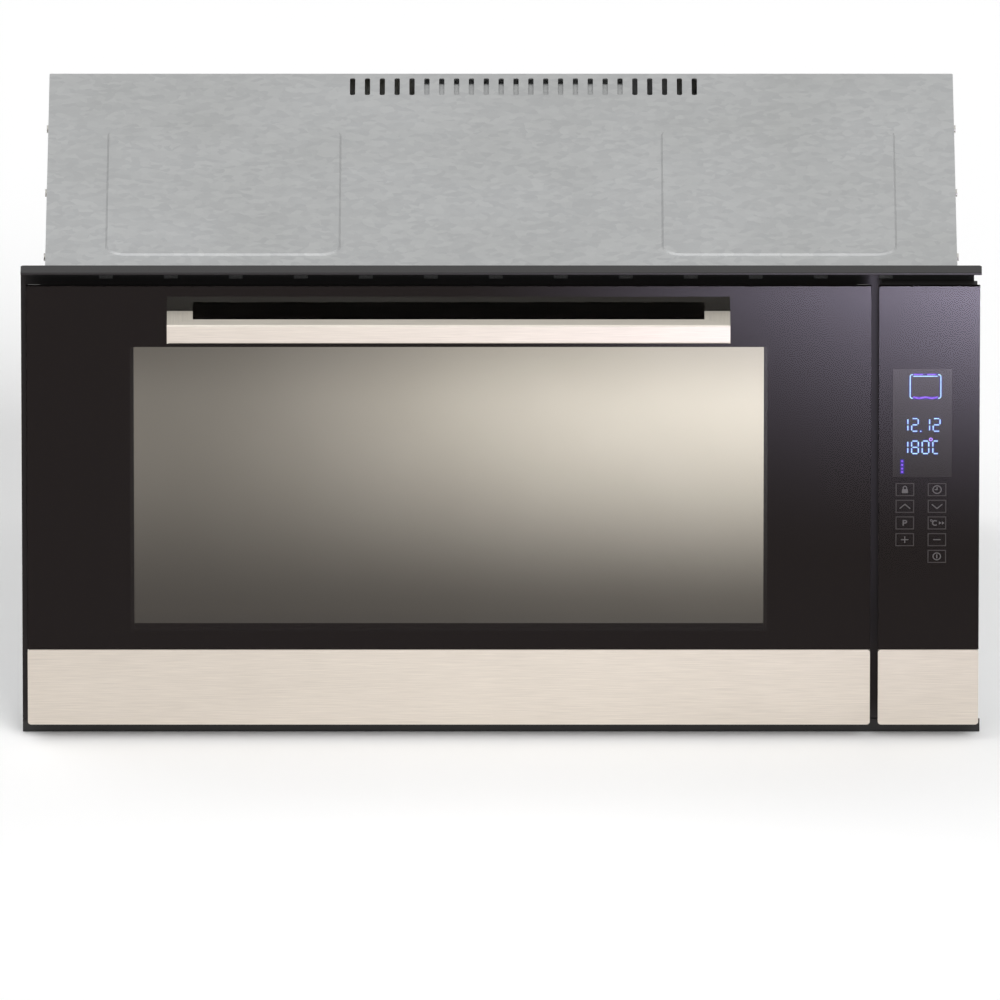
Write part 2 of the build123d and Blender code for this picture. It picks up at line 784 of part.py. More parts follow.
fan_radius = 85.0
fan_hub_radius = 14.0
blade_count = 12
blade_inner = 42.0
blade_height = 18.0
fan_disc_y = cavity_back - 14
baffle_depth = 45.0
baffle_width = cavity_width - 160
baffle_height = cavity_height - 50
baffle_y = cavity_back - baffle_depth
motor_front = cavity_back + enamel_sheet
motor_neck = 28.0
motor_back = rear_plane - 6
shaft_end = motor_front + motor_neck + 12
with BuildPart() as convection_fan:
    with BuildSketch(facing(fan_disc_y)):
        with Locations((door_middle, fan_z)):
            Circle(fan_radius)
            with PolarLocations((blade_inner + fan_hub_radius) / 2, 6):
                Circle(5, mode=Mode.SUBTRACT)
    extrude(amount=-1.5)
    with BuildSketch(facing(fan_disc_y)):
        with Locations((door_middle, fan_z)):
            with PolarLocations((blade_inner + fan_radius) / 2, blade_count):
                Rectangle(fan_radius - blade_inner - 1, 1.5, rotation=14)
    extrude(amount=blade_height)
    with BuildSketch(facing(fan_disc_y - 4)):
        with Locations((door_middle, fan_z)):
            Circle(fan_hub_radius)
    extrude(amount=-9)
    with BuildSketch(facing(fan_disc_y - 12)):
        with Locations((door_middle, fan_z)):
            Circle(shaft_radius)
    extrude(amount=-(shaft_end - fan_disc_y + 12))
convection_fan.part.label = "convection_fan"

with BuildPart() as fan_motor:
    with BuildSketch(facing(motor_front)):
        with Locations((door_middle, fan_z)):
            Circle(30)
    extrude(amount=-2)
    with BuildSketch(facing(motor_front)):
        with Locations((door_middle, fan_z)):
            Circle(13)
    extrude(amount=-motor_neck)
    with BuildSketch(facing(motor_front + motor_neck)):
        with Locations((door_middle, fan_z)):
            RectangleRounded(64, 64, 6)
    extrude(amount=-(motor_back - motor_front - motor_neck))
    with BuildSketch(facing(motor_front)):
        with Locations((door_middle, fan_z)):
            Circle(shaft_radius + running_clearance)
    extrude(amount=-(shaft_end - motor_front + 1), mode=Mode.SUBTRACT)
fan_motor.part.label = "fan_motor"

element_radius = 3.25
ring_radius = 100.0
ring_y = cavity_back - 24
ring_gap_angle = 16.0
with BuildPart() as ring_element:
    with BuildLine(facing(ring_y)) as ring_path:
        CenterArc((door_middle, fan_z), ring_radius, 90 + ring_gap_angle, 360 - 2 * ring_gap_angle)
    with BuildSketch(Plane(ring_path.line @ 0, z_dir=ring_path.line % 0)):
        Circle(element_radius)
    sweep()
    for turn in (-ring_gap_angle, ring_gap_angle):
        x = door_middle + ring_radius * sin(radians(turn))
        z = fan_z + ring_radius * cos(radians(turn))
        with BuildSketch(facing(ring_y)):
            with Locations((x, z)):
                Circle(element_radius)
        extrude(amount=-(cavity_back - ring_y))
        with Locations((x, ring_y, z)):
            Sphere(element_radius)
ring_element.part.label = "ring_element"


def heater(z, half_x, front, back, loops):
    """A serpentine heater in one level plane, with both ends at the back."""
    pitch = 2 * half_x / (2 * loops - 1)
    points = []
    for index in range(2 * loops):
        x = door_middle - half_x + index * pitch
        near = (x, front) if index % 2 else (x, back if index in (0,) else back - 60)
        far = (x, back if index == 2 * loops - 1 else back - 60) if index % 2 else (x, front)
        points.extend([near, far])
    with BuildPart() as element:
        with BuildLine(Plane.XY.offset(z)) as path:
            FilletPolyline(*points, radius=pitch * 0.45)
        with BuildSketch(Plane(path.line @ 0, z_dir=path.line % 0)):
            Circle(element_radius)
        sweep()
    return element


grill_inset = 95.0
bottom_element_inset = 80.0
grill_z = cavity_top - 18
grill_element = heater(grill_z, cavity_width / 2 - grill_inset, front_plate_back + 50, cavity_back, 3)
grill_element.part.label = "grill_element"
bottom_element_z = cavity_floor - enamel_sheet - element_radius - seat_gap
bottom_element = heater(bottom_element_z, cavity_width / 2 - bottom_element_inset, front_plate_back + 40, cavity_back - 20, 2)
bottom_element.part.label = "bottom_element"

intake_slots = 28
with BuildPart() as fan_cover:
    with BuildSketch(facing(baffle_y)):
        with Locations((door_middle, fan_z)):
            RectangleRounded(baffle_width, baffle_height, 12)
            for ring, length in ((34, 26), (68, 26)):
                with PolarLocations(ring, intake_slots if ring > 50 else intake_slots // 2):
                    SlotOverall(length, 5, mode=Mode.SUBTRACT)
            for side in (-1, 1):
                with Locations((side * (baffle_width / 2 - 30), 0)):
                    with GridLocations(1, 26, 1, 8):
                        SlotOverall(18, 5, rotation=90, mode=Mode.SUBTRACT)
    extrude(amount=-enamel_sheet)
    with BuildSketch(facing(baffle_y + enamel_sheet)):
        with Locations((door_middle, fan_z)):
            RectangleRounded(baffle_width, baffle_height, 12)
            RectangleRounded(baffle_width - 2 * enamel_sheet, baffle_height - 2 * enamel_sheet, 11,
                             mode=Mode.SUBTRACT)
    extrude(amount=-12)
    with BuildSketch(facing(baffle_y + enamel_sheet)):
        with Locations((door_middle, fan_z)):
            with GridLocations(baffle_width - 90, baffle_height - 50, 2, 2):
                Circle(5)
    extrude(amount=-(baffle_depth - enamel_sheet))
fan_cover.part.label = "fan_cover"

with BuildPart() as temperature_probe:
    with BuildSketch(facing(cavity_back)):
        with Locations((cavity_right - 30, cavity_top - 45)):
            Circle(7)
    extrude(amount=3)
    with BuildSketch(facing(cavity_back)):
        with Locations((cavity_right - 30, cavity_top - 45)):
            Circle(2)
    extrude(amount=70)
temperature_probe.part.label = "temperature_probe"

# Shelf supports, wire shelf and baking tray
rail_levels = [cavity_floor + 34 + 45 * level for level in range(5)]
rail_radius = 2.5
post_offset = 9.0
rail_offset = 13.0
shelf_offset = 15.5
ladder_front = front_plate_back + 28
ladder_back = baffle_y - 14
post_places = (ladder_front + 14, ladder_back - 14)
stub_radius = rail_radius - 0.6


with BuildPart() as shelf_ladders:
    for wall, direction in ((cavity_left, 1), (cavity_right, -1)):
        post_x = wall + direction * post_offset
        rail_x = wall + direction * rail_offset
        with BuildSketch(Plane.XY.offset(rail_levels[0] - 16)):
            for y in post_places:
                with Locations((post_x, y)):
                    Circle(rail_radius)
        extrude(amount=rail_levels[-1] - rail_levels[0] + 32)
        with BuildSketch(facing(ladder_front)):
            for level in rail_levels:
                with Locations((rail_x, level)):
                    Circle(rail_radius)
        extrude(amount=-(ladder_back - ladder_front))
        with BuildSketch(beside(wall)):
            for y in post_places:
                with Locations((y, rail_levels[0] - 12), (y, rail_levels[-1] + 12)):
                    Circle(stub_radius)
        extrude(amount=direction * post_offset)
shelf_ladders.part.label = "shelf_ladders"

shelf_travel = 12.0
shelf_wire = 3.0
shelf_bar = 2.0
shelf_bar_count = 21
shelf_left = cavity_left + shelf_offset
shelf_right = cavity_right - shelf_offset
shelf_z = rail_levels[3] + rail_radius + seat_gap + shelf_wire
shelf_front = front_plate_back + shelf_travel + 6
shelf_back = baffle_y - 6
shelf_corner = 14.0
shelf_frame_height = 5.0
with BuildPart() as wire_shelf:
    width = shelf_right - shelf_left
    length = shelf_back - shelf_front
    with BuildSketch(Plane.XY.offset(shelf_z - shelf_frame_height / 2)):
        with Locations((door_middle, (shelf_front + shelf_back) / 2)):
            RectangleRounded(width + 2 * shelf_wire, length + 2 * shelf_wire, shelf_corner)
            RectangleRounded(width - 2 * shelf_wire, length - 2 * shelf_wire, shelf_corner - 2 * shelf_wire,
                             mode=Mode.SUBTRACT)
    extrude(amount=shelf_frame_height)
    with BuildSketch(facing(shelf_front)):
        with Locations((door_middle, shelf_z)):
            with GridLocations((width - 2 * shelf_corner) / (shelf_bar_count - 1), 1, shelf_bar_count, 1):
                Circle(shelf_bar)
    extrude(amount=-length)
    with BuildSketch(beside(shelf_left)):
        with Locations(((shelf_front + shelf_back) / 2, shelf_z)):
            with GridLocations(length / 3, 1, 2, 1):
                Circle(shelf_wire - 0.5)
    extrude(amount=width)
wire_shelf.part.label = "wire_shelf"

tray_depth = 30.0
tray_rim_offset = 12.5
tray_body_offset = 22.0
tray_z = rail_levels[1] + rail_radius + seat_gap
tray_front = shelf_front
tray_back = shelf_back
tray_taper = 8.0
with BuildPart() as baking_tray:
    tray_middle = (tray_front + tray_back) / 2
    rim = tray_body_offset - tray_rim_offset
    body_x = cavity_width - 2 * tray_body_offset
    body_y = tray_back - tray_front - 2 * rim
    with BuildSketch(Plane.XY.offset(tray_z)):
        with Locations((door_middle, tray_middle)):
            RectangleRounded(body_x + 2 * rim, body_y + 2 * rim, 22)
    extrude(amount=enamel_sheet)
    with BuildSketch(Plane.XY.offset(tray_z)):
        with Locations((door_middle, tray_middle)):
            RectangleRounded(body_x, body_y, 18)
    extrude(amount=-tray_depth, taper=tray_taper)
    with BuildSketch(Plane.XY.offset(tray_z + enamel_sheet)):
        with Locations((door_middle, tray_middle)):
            RectangleRounded(body_x - 2 * enamel_sheet, body_y - 2 * enamel_sheet, 17)
    extrude(amount=-tray_depth, taper=tray_taper, mode=Mode.SUBTRACT)
baking_tray.part.label = "baking_tray"

# Insulation round the cavity
wool = 26.0
wool_gap = 1.0
wool_floor = cavity_floor - 14
duct_low = cavity_top + enamel_sheet + wool + wool_gap
with BuildPart() as insulation:
    with BuildSketch(facing(front_plate_back + 12)):
        side = enamel_sheet + seat_gap
        span(cavity_left - side - wool, cavity_right + side + wool, wool_floor - wool, duct_low - wool_gap)
        span(cavity_left - side, cavity_right + side, wool_floor, cavity_top + side, Mode.SUBTRACT)
    extrude(amount=-(cavity_depth - 12))
    with BuildSketch(facing(cavity_back + enamel_sheet + seat_gap)):
        span(cavity_left + 4, cavity_right - 4, cavity_floor + 4, cavity_top - 22)
        with Locations((door_middle, fan_z)):
            Circle(32, mode=Mode.SUBTRACT)
        with Locations((lamp_x, lamp_z)):
            Circle(lamp_radius + 2, mode=Mode.SUBTRACT)
    extrude(amount=-(motor_neck - 4))
insulation.part.label = "insulation"

# Cooling blower behind the cavity and its duct to the front
duct_high = well_top
duct_front_width = cavity_width - 40
blower_width = 200.0
blower_x = door_middle + 70
rotor_radius = 22.0
rotor_length = 180.0
rotor_y = cavity_back + 36
rotor_z = cavity_top + 14
blower_front = cavity_back + enamel_sheet + 4
with BuildPart() as air_duct:
    with BuildSketch(Plane.XY.offset(duct_low)):
        with BuildLine():
            Polyline(
                (door_middle - duct_front_width / 2, front_plate_back),
                (door_middle + duct_front_width / 2, front_plate_back),
                (blower_x + blower_width / 2, blower_front),
                (blower_x - blower_width / 2, blower_front),
                close=True,
            )
        make_face()
    extrude(amount=duct_high - duct_low)
    offset(
        amount=-thin_sheet,
        openings=[air_duct.faces().sort_by(Axis.Y)[0], air_duct.faces().sort_by(Axis.Y)[-1]],
    )
air_duct.part.label = "air_duct"

blower_left = blower_x - blower_width / 2
blower_back = rear_plane - 3
with BuildPart() as blower_housing:
    with BuildSketch(beside(blower_left)) as scroll:
        span(blower_front, blower_back, rotor_z - rotor_radius - 6, duct_high)
        fillet(scroll.vertices().group_by(Axis.Y)[-1], radius=14)
    extrude(amount=blower_width)
    with BuildSketch(beside(blower_left + thin_sheet)):
        with Locations((rotor_y, rotor_z)):
            Circle(rotor_radius + 3)
        span(blower_front, rotor_y, duct_low + thin_sheet, duct_high - thin_sheet)
        span(rotor_y - 12, rotor_y + 12, rotor_z - rotor_radius - 6, rotor_z)
    extrude(amount=blower_width - 2 * thin_sheet, mode=Mode.SUBTRACT)
    with BuildSketch(beside(blower_left)):
        with Locations((rotor_y, rotor_z)):
            Circle(3 + running_clearance)
    extrude(amount=blower_width, mode=Mode.SUBTRACT)
blower_housing.part.label = "blower_housing"

rotor_blades = 20
with BuildPart() as blower_rotor:
    with BuildSketch(beside(blower_x - rotor_length / 2)):
        with Locations((rotor_y, rotor_z)):
            with PolarLocations(rotor_radius - 4, rotor_blades):
                Rectangle(6, 1, rotation=35)
    extrude(amount=rotor_length)
    with BuildSketch(beside(blower_x - rotor_length / 2)):
        with Locations((rotor_y, rotor_z)):
            Circle(rotor_radius)
    extrude(amount=1.5)
    with BuildSketch(beside(blower_x + rotor_length / 2)):
        with Locations((rotor_y, rotor_z)):
            Circle(rotor_radius)
    extrude(amount=-1.5)
    with BuildSketch(beside(blower_left - 2)):
        with Locations((rotor_y, rotor_z)):
            Circle(3)
    extrude(amount=blower_width + 18)
blower_rotor.part.label = "blower_rotor"

with BuildPart() as blower_motor:
    with BuildSketch(beside(blower_left + blower_width)):
        with Locations((rotor_y, rotor_z)):
            Circle(20)
            Circle(3 + running_clearance, mode=Mode.SUBTRACT)
    extrude(amount=38)
blower_motor.part.label = "blower_motor"

# Housing of thin galvanised sheet
housing_front = flange_back + seat_gap
side_low = skid_height + thin_sheet
with BuildPart() as base_pan:
    with BuildSketch(facing(housing_front + bottom_trim_return)):
        span(1 - housing_half_width, housing_half_width - 1, skid_height, skid_height + thin_sheet)
        for x in (-skid_spacing, 0, skid_spacing):
            span(x - skid_width / 2, x + skid_width / 2, 0, skid_height + thin_sheet)
        for x in (-skid_spacing, 0, skid_spacing):
            inner = skid_width / 2 - thin_sheet
            span(x - inner, x + inner, thin_sheet, skid_height + thin_sheet, Mode.SUBTRACT)
    extrude(amount=-(rear_plane - housing_front - bottom_trim_return))
base_pan.part.label = "base_pan"


def side_panel(outer, direction, front):
    """A side wall with its edges folded inwards and a row of vent slots."""
    with BuildPart() as panel:
        with BuildSketch(beside(outer)):
            span(front, rear_plane, side_low, housing_height - thin_sheet)
            with Locations(((housing_front + rear_plane) / 2, side_low + 60)):
                with GridLocations(24, 1, 12, 1):
                    SlotOverall(50, 5, rotation=90, mode=Mode.SUBTRACT)
        extrude(amount=direction * thin_sheet)
        for low, high in ((side_low, side_low + thin_sheet),
                          (housing_height - 2 * thin_sheet, housing_height - thin_sheet)):
            with BuildSketch(beside(outer + direction * thin_sheet)):
                span(well_back + 10, rear_plane, low, high)
            extrude(amount=direction * 10)
    return panel


side_panel_left = side_panel(-housing_half_width, 1, front_plate_back)
side_panel_left.part.label = "side_panel_left"
side_panel_right = side_panel(housing_half_width, -1, housing_front)
side_panel_right.part.label = "side_panel_right"

bead_height = 1.6
bead_inset = 165.0
bead_width = 220.0
bead_shift = 30.0
bead_corner = 20.0
with BuildPart() as top_panel:
    with BuildSketch(Plane.XY.offset(housing_height - thin_sheet)):
        reach = housing_half_width + thin_sheet
        span(-reach, reach, housing_front, rear_plane)
        with Locations((blower_x, rotor_y - 4)):
            with GridLocations(14, 1, 24, 1):
                SlotOverall(40, 5, rotation=90, mode=Mode.SUBTRACT)
    extrude(amount=thin_sheet)
    for x in (bead_inset - housing_half_width, housing_half_width - bead_inset):
        with BuildSketch(Plane.XY.offset(housing_height)):
            with Locations((x, (housing_front + rear_plane) / 2 - bead_shift)):
                RectangleRounded(bead_width, body_depth - bead_width, bead_corner)
        extrude(amount=bead_height, taper=50)
    for side in (-1, 1):
        with BuildSketch(beside(side * housing_half_width)):
            span(housing_front, rear_plane, housing_height - 14, housing_height - thin_sheet)
        extrude(amount=side * thin_sheet)
top_panel.part.label = "top_panel"

louvre_rows = 6
with BuildPart() as rear_panel:
    with BuildSketch(facing(rear_plane)):
        span(-housing_half_width, housing_half_width, skid_height, housing_height)
        with Locations((door_middle, fan_z)):
            Rectangle(rear_cover_width - 30, rear_cover_height - 30, mode=Mode.SUBTRACT)
        with Locations((-300, 120), (260, 120)):
            with GridLocations(1, 14, 1, louvre_rows):
                SlotOverall(110, 5, mode=Mode.SUBTRACT)
    extrude(amount=-thin_sheet)
rear_panel.part.label = "rear_panel"

with BuildPart() as rear_cover:
    with BuildSketch(facing(rear_plane + thin_sheet)):
        with Locations((door_middle, fan_z)):
            RectangleRounded(rear_cover_width, rear_cover_height, 8)
    extrude(amount=-(rear_cover_depth - thin_sheet), taper=6)
    with BuildSketch(facing(rear_plane + thin_sheet)):
        with Locations((door_middle, fan_z)):
            RectangleRounded(rear_cover_width - 2, rear_cover_height - 2, 7)
    extrude(amount=-(rear_cover_depth - 2 * thin_sheet), taper=6, mode=Mode.SUBTRACT)
    with BuildSketch(facing(body_back)):
        with Locations((door_middle, fan_z)):
            with GridLocations(1, 16, 1, 8):
                SlotOverall(130, 6)
    extrude(amount=2 * thin_sheet, mode=Mode.SUBTRACT)
rear_cover.part.label = "rear_cover"

# Electrics
board_x = well_right + 62
with BuildPart() as power_board:
    with BuildSketch(beside(board_x)):
        span(well_back + 60, well_back + 260, 130, 330)
    extrude(amount=board_thickness)
    with BuildSketch(beside(board_x)):
        with Locations((well_back + 110, 290)):
            Rectangle(50, 44)
        with Locations((well_back + 190, 290), (well_back + 215, 290), (well_back + 240, 290)):
            Rectangle(16, 30)
        with Locations((well_back + 160, 160)):
            Rectangle(170, 14)
    extrude(amount=-22)
    with BuildSketch(beside(board_x + board_thickness)):
        with Locations((well_back + 160, 230)):
            with GridLocations(180, 180, 2, 2):
                Circle(4)
    extrude(amount=housing_half_width - thin_sheet - board_x - board_thickness)
power_board.part.label = "power_board"

terminal_inset = 75.0
terminal_drop = 56.0
terminal_x = housing_half_width - terminal_inset
terminal_z = housing_height - terminal_drop
with BuildPart() as terminal_block:
    with BuildSketch(facing(rear_plane + thin_sheet)):
        with Locations((terminal_x, terminal_z)):
            Rectangle(56, 26)
    extrude(amount=-10)
    with BuildSketch(facing(rear_plane + thin_sheet + 10)):
        with Locations((terminal_x, terminal_z)):
            with GridLocations(11, 1, 5, 1):
                Rectangle(8, 20)
    extrude(amount=-5)
terminal_block.part.label = "terminal_block"

cover_depth = 22.0
gland_radius = 7.0
with BuildPart() as terminal_cover:
    with BuildSketch(facing(rear_plane + thin_sheet)):
        with Locations((terminal_x, terminal_z - 12)):
            RectangleRounded(76, 74, 4)
    extrude(amount=-cover_depth)
    with BuildSketch(facing(rear_plane + thin_sheet)):
        with Locations((terminal_x, terminal_z - 12)):
            RectangleRounded(72, 70, 3)
    extrude(amount=-(cover_depth - 2), mode=Mode.SUBTRACT)
    with BuildSketch(Plane.XY.offset(terminal_z - 12 - 37)):
        with Locations((terminal_x, rear_plane + thin_sheet + cover_depth / 2)):
            Circle(gland_radius)
    extrude(amount=2, mode=Mode.SUBTRACT)
terminal_cover.part.label = "terminal_cover"

with BuildPart() as safety_thermostat:
    with BuildSketch(facing(cavity_back + enamel_sheet)):
        with Locations((door_middle - 200, cavity_top - 10)):
            Circle(9)
    extrude(amount=-16)
safety_thermostat.part.label = "safety_thermostat"

# Screws that hold the housing together
screw_radius = 3.6
with BuildPart() as housing_screws:
    for side in (-1, 1):
        with BuildSketch(beside(side * (housing_half_width + thin_sheet))):
            with Locations((0, housing_height - 8)):
                with GridLocations(150, 1, 3, 1):
                    Circle(screw_radius)
        extrude(amount=side * 1.6)
    with BuildSketch(facing(rear_plane + thin_sheet)):
        with Locations((0, (side_low + housing_height) / 2)):
            with GridLocations(2 * housing_half_width - 30, (housing_height - 60) / 2, 2, 3):
                Circle(screw_radius)
    extrude(amount=-1.6)
housing_screws.part.label = "housing_screws"

pieces = [
    front_frame, top_trim, bottom_trim, left_side_trim,
    control_panel_glass, control_panel_strip, control_panel_carrier, display_module, touch_board,
    door_outer_glass, door_bottom_strip, door_middle_glass, door_inner_glass,
    glass_rails, door_side_profiles,
    door_bottom_profile, door_top_cap, door_end_caps, door_liner,
    handle_bar, handle_brackets, handle_gaskets, handle_screws,
    hinge_channels, hinge_pins, hinge_arms, hinge_receivers, hinge_rods, hinge_springs,
    cavity_front_plate, door_seal, oven_cavity, lamp_holder, lamp_cover,
    convection_fan, fan_motor, ring_element, grill_element, bottom_element, fan_cover,
    temperature_probe, shelf_ladders, wire_shelf, baking_tray,
    insulation, air_duct, blower_housing, blower_rotor, blower_motor,
    base_pan, side_panel_left, side_panel_right, top_panel, rear_panel, rear_cover,
    power_board, terminal_block, terminal_cover, safety_thermostat, housing_screws,
]
for piece in pieces:
    export_step(piece.part, f"parts/{piece.part.label}.step")
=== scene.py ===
"""The look of a 90 cm built-in oven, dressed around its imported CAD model.

The finishes come first, then the prints and lit figures inside the glass, then the studio and the
camera. Drawn pieces are measured in millimetres, materials and the studio in metres.
"""

import math

import bmesh
import bpy
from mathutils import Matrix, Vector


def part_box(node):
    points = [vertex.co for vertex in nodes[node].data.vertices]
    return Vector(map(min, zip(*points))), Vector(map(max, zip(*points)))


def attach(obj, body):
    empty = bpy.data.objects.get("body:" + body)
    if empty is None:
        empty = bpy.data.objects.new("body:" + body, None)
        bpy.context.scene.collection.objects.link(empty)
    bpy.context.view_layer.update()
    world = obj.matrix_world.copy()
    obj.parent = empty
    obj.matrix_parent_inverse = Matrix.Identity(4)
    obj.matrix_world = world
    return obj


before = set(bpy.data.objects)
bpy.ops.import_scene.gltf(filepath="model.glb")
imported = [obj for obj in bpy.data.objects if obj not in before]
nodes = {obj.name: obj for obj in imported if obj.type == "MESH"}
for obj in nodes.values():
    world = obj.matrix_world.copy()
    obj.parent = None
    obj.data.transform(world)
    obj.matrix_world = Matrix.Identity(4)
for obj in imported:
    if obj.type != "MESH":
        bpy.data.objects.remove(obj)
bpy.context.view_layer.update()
scene = bpy.context.scene
MM = 0.001

# Node helpers

# Noise rarely leaves this span.
NOISE_SPAN = (0.3, 0.7)
UNIT_SPAN = (0.0, 1.0)
WHITE = (1.0, 1.0, 1.0)
# The mix node's factor, its two colours and its result are reached by number: their names repeat.
MIX_INPUTS = (0, 6, 7)
MIX_RESULT = 2


def blank(name):
    """A new material with its tree and its shader."""
    material = bpy.data.materials.new(name)
    material.use_nodes = True
    tree = material.node_tree
    return material, tree, tree.nodes["Principled BSDF"]


def join(tree, source, target):
    tree.links.new(source, target)


def place(tree, stretch=(1.0, 1.0, 1.0)):
    """The object's own coordinates, stretched for grain that runs one way."""
    coordinates = tree.nodes.new("ShaderNodeTexCoord")
    mapping = tree.nodes.new("ShaderNodeMapping")
    mapping.inputs["Scale"].default_value = stretch
    join(tree, coordinates.outputs["Object"], mapping.inputs["Vector"])
    return mapping.outputs["Vector"]


def axes(tree, vector):
    """The X, Y and Z outputs of a vector."""
    node = tree.nodes.new("ShaderNodeSeparateXYZ")
    join(tree, vector, node.inputs["Vector"])
    return node.outputs


def grey(tree, value):
    """A grey of that level."""
    node = tree.nodes.new("ShaderNodeCombineXYZ")
    for name in "XYZ":
        join(tree, value, node.inputs[name])
    return node.outputs["Vector"]


def noise(tree, vector, scale, detail=3.0, roughness=0.55):
    node = tree.nodes.new("ShaderNodeTexNoise")
    node.inputs["Scale"].default_value = scale
    node.inputs["Detail"].default_value = detail
    node.inputs["Roughness"].default_value = roughness
    join(tree, vector, node.inputs["Vector"])
    return node.outputs["Fac"]


def cells(tree, vector, scale, output="Distance"):
    node = tree.nodes.new("ShaderNodeTexVoronoi")
    node.inputs["Scale"].default_value = scale
    join(tree, vector, node.inputs["Vector"])
    return node.outputs[output]


def waves(tree, vector, scale, direction, distortion):
    node = tree.nodes.new("ShaderNodeTexWave")
    node.bands_direction = direction
    node.inputs["Scale"].default_value = scale
    node.inputs["Distortion"].default_value = distortion
    join(tree, vector, node.inputs["Vector"])
    return node.outputs["Fac"]


def bend(tree, vector, scale, reach):
    """Coordinates pushed about by noise, so that cells get uneven edges."""
    wander = tree.nodes.new("ShaderNodeTexNoise")
    wander.inputs["Scale"].default_value = scale
    join(tree, vector, wander.inputs["Vector"])
    small = tree.nodes.new("ShaderNodeVectorMath")
    small.operation = "SCALE"
    small.inputs["Scale"].default_value = reach
    join(tree, wander.outputs["Color"], small.inputs[0])
    bent = tree.nodes.new("ShaderNodeVectorMath")
    bent.operation = "ADD"
    join(tree, vector, bent.inputs[0])
    join(tree, small.outputs["Vector"], bent.inputs[1])
    return bent.outputs["Vector"]


def tint(tree, value, dark, light, span=NOISE_SPAN):
    """A colour that goes from dark to light while value crosses the span."""
    node = tree.nodes.new("ShaderNodeValToRGB")
    first, last = node.color_ramp.elements
    first.position, last.position = span
    first.color, last.color = (*dark, 1.0), (*light, 1.0)
    join(tree, value, node.inputs["Fac"])
    return node.outputs["Color"]


def level(tree, value, span, bottom, top, smooth=False):
    """A number that goes from bottom to top while value crosses the span."""
    node = tree.nodes.new("ShaderNodeMapRange")
    if smooth:
        node.interpolation_type = "SMOOTHSTEP"
    limits = zip(("From Min", "From Max", "To Min", "To Max"), (*span, bottom, top))
    for name, number in limits:
        node.inputs[name].default_value = number
    join(tree, value, node.inputs["Value"])
    return node.outputs["Result"]


def calc(tree, operation, first, second):
    """Two values worked together; each is an output or a number."""
    node = tree.nodes.new("ShaderNodeMath")
    node.operation = operation
    for socket, value in zip(node.inputs, (first, second)):
        if isinstance(value, float):
            socket.default_value = value
        else:
            join(tree, value, socket)
    return node.outputs["Value"]


def blend_colours(tree, factor, first, second, mode="MIX"):
    """Two colours blended; the factor and each colour are an output or a constant."""
    node = tree.nodes.new("ShaderNodeMix")
    node.data_type = "RGBA"
    node.blend_type = mode
    for number, value in zip(MIX_INPUTS, (factor, first, second)):
        socket = node.inputs[number]
        if isinstance(value, float):
            socket.default_value = value
        elif isinstance(value, tuple):
            socket.default_value = (*value, 1.0)
        else:
            join(tree, value, socket)
    return node.outputs[MIX_RESULT]


def shade(colour, share):
    return tuple(min(1.0, channel * share) for channel in colour)


def paint(tree, shader, colour):
    join(tree, colour, shader.inputs["Base Color"])


def gloss(tree, shader, value, low, high, span=NOISE_SPAN):
    """A roughness that goes from low to high while value crosses the span."""
    join(tree, level(tree, value, span, low, high), shader.inputs["Roughness"])


def bump(tree, shader, height, strength, distance):
    node = tree.nodes.new("ShaderNodeBump")
    node.inputs["Strength"].default_value = strength
    node.inputs["Distance"].default_value = distance
    join(tree, height, node.inputs["Height"])
    join(tree, node.outputs["Normal"], shader.inputs["Normal"])


# Finishes


def finish(name, colour, rough, scale, spread, relief, depth, metallic=0.0, rough_spread=0.06,
           coat=0.0, coat_rough=0.1):
    """A plain finish with grain in its colour, its gloss and its relief."""
    material, tree, shader = blank(name)
    grain = noise(tree, place(tree), scale)
    paint(tree, shader, tint(tree, grain, shade(colour, 1 - spread), shade(colour, 1 + spread)))
    gloss(tree, shader, grain, rough - rough_spread, rough + rough_spread)
    bump(tree, shader, grain, relief, depth)
    shader.inputs["Metallic"].default_value = metallic
    shader.inputs["Coat Weight"].default_value = coat
    shader.inputs["Coat Roughness"].default_value = coat_rough
    return material


def brushed(name, colour, along):
    """Satin steel, with its brush lines along one axis."""
    material, tree, shader = blank(name)
    stretch = tuple(0.012 if axis == along else 1.0 for axis in "XYZ")
    lines = noise(tree, place(tree, stretch), scale=2600, detail=2)
    cloud = noise(tree, place(tree, (0.3, 1, 1)), scale=14, detail=2)
    fine = tint(tree, lines, shade(colour, 0.9), shade(colour, 1.08))
    broad = tint(tree, cloud, dark=(0.95, 0.95, 0.95), light=WHITE)
    paint(tree, shader, blend_colours(tree, 1.0, fine, broad, "MULTIPLY"))
    gloss(tree, shader, lines, low=0.31, high=0.43)
    bump(tree, shader, lines, strength=0.12, distance=0.00002)
    shader.inputs["Metallic"].default_value = 0.35
    return material


def galvanised_sheet():
    """Zinc-coated sheet: broad crystals, each with its own tone and gloss."""
    material, tree, shader = blank("galvanised_sheet")
    bent = bend(tree, place(tree), scale=60, reach=0.012)
    crystals = tree.nodes.new("ShaderNodeSeparateColor")
    join(tree, cells(tree, bent, scale=120, output="Color"), crystals.inputs["Color"])
    tones = tint(tree, crystals.outputs["Red"], dark=(0.565, 0.575, 0.58),
                 light=(0.64, 0.65, 0.65), span=UNIT_SPAN)
    stain = tint(tree, noise(tree, place(tree), scale=5), dark=(0.90, 0.90, 0.89), light=WHITE)
    paint(tree, shader, blend_colours(tree, 1.0, tones, stain, "MULTIPLY"))
    gloss(tree, shader, crystals.outputs["Green"], low=0.36, high=0.46, span=UNIT_SPAN)
    bump(tree, shader, noise(tree, place(tree), scale=900), strength=0.15, distance=0.00003)
    shader.inputs["Metallic"].default_value = 0.7
    return material


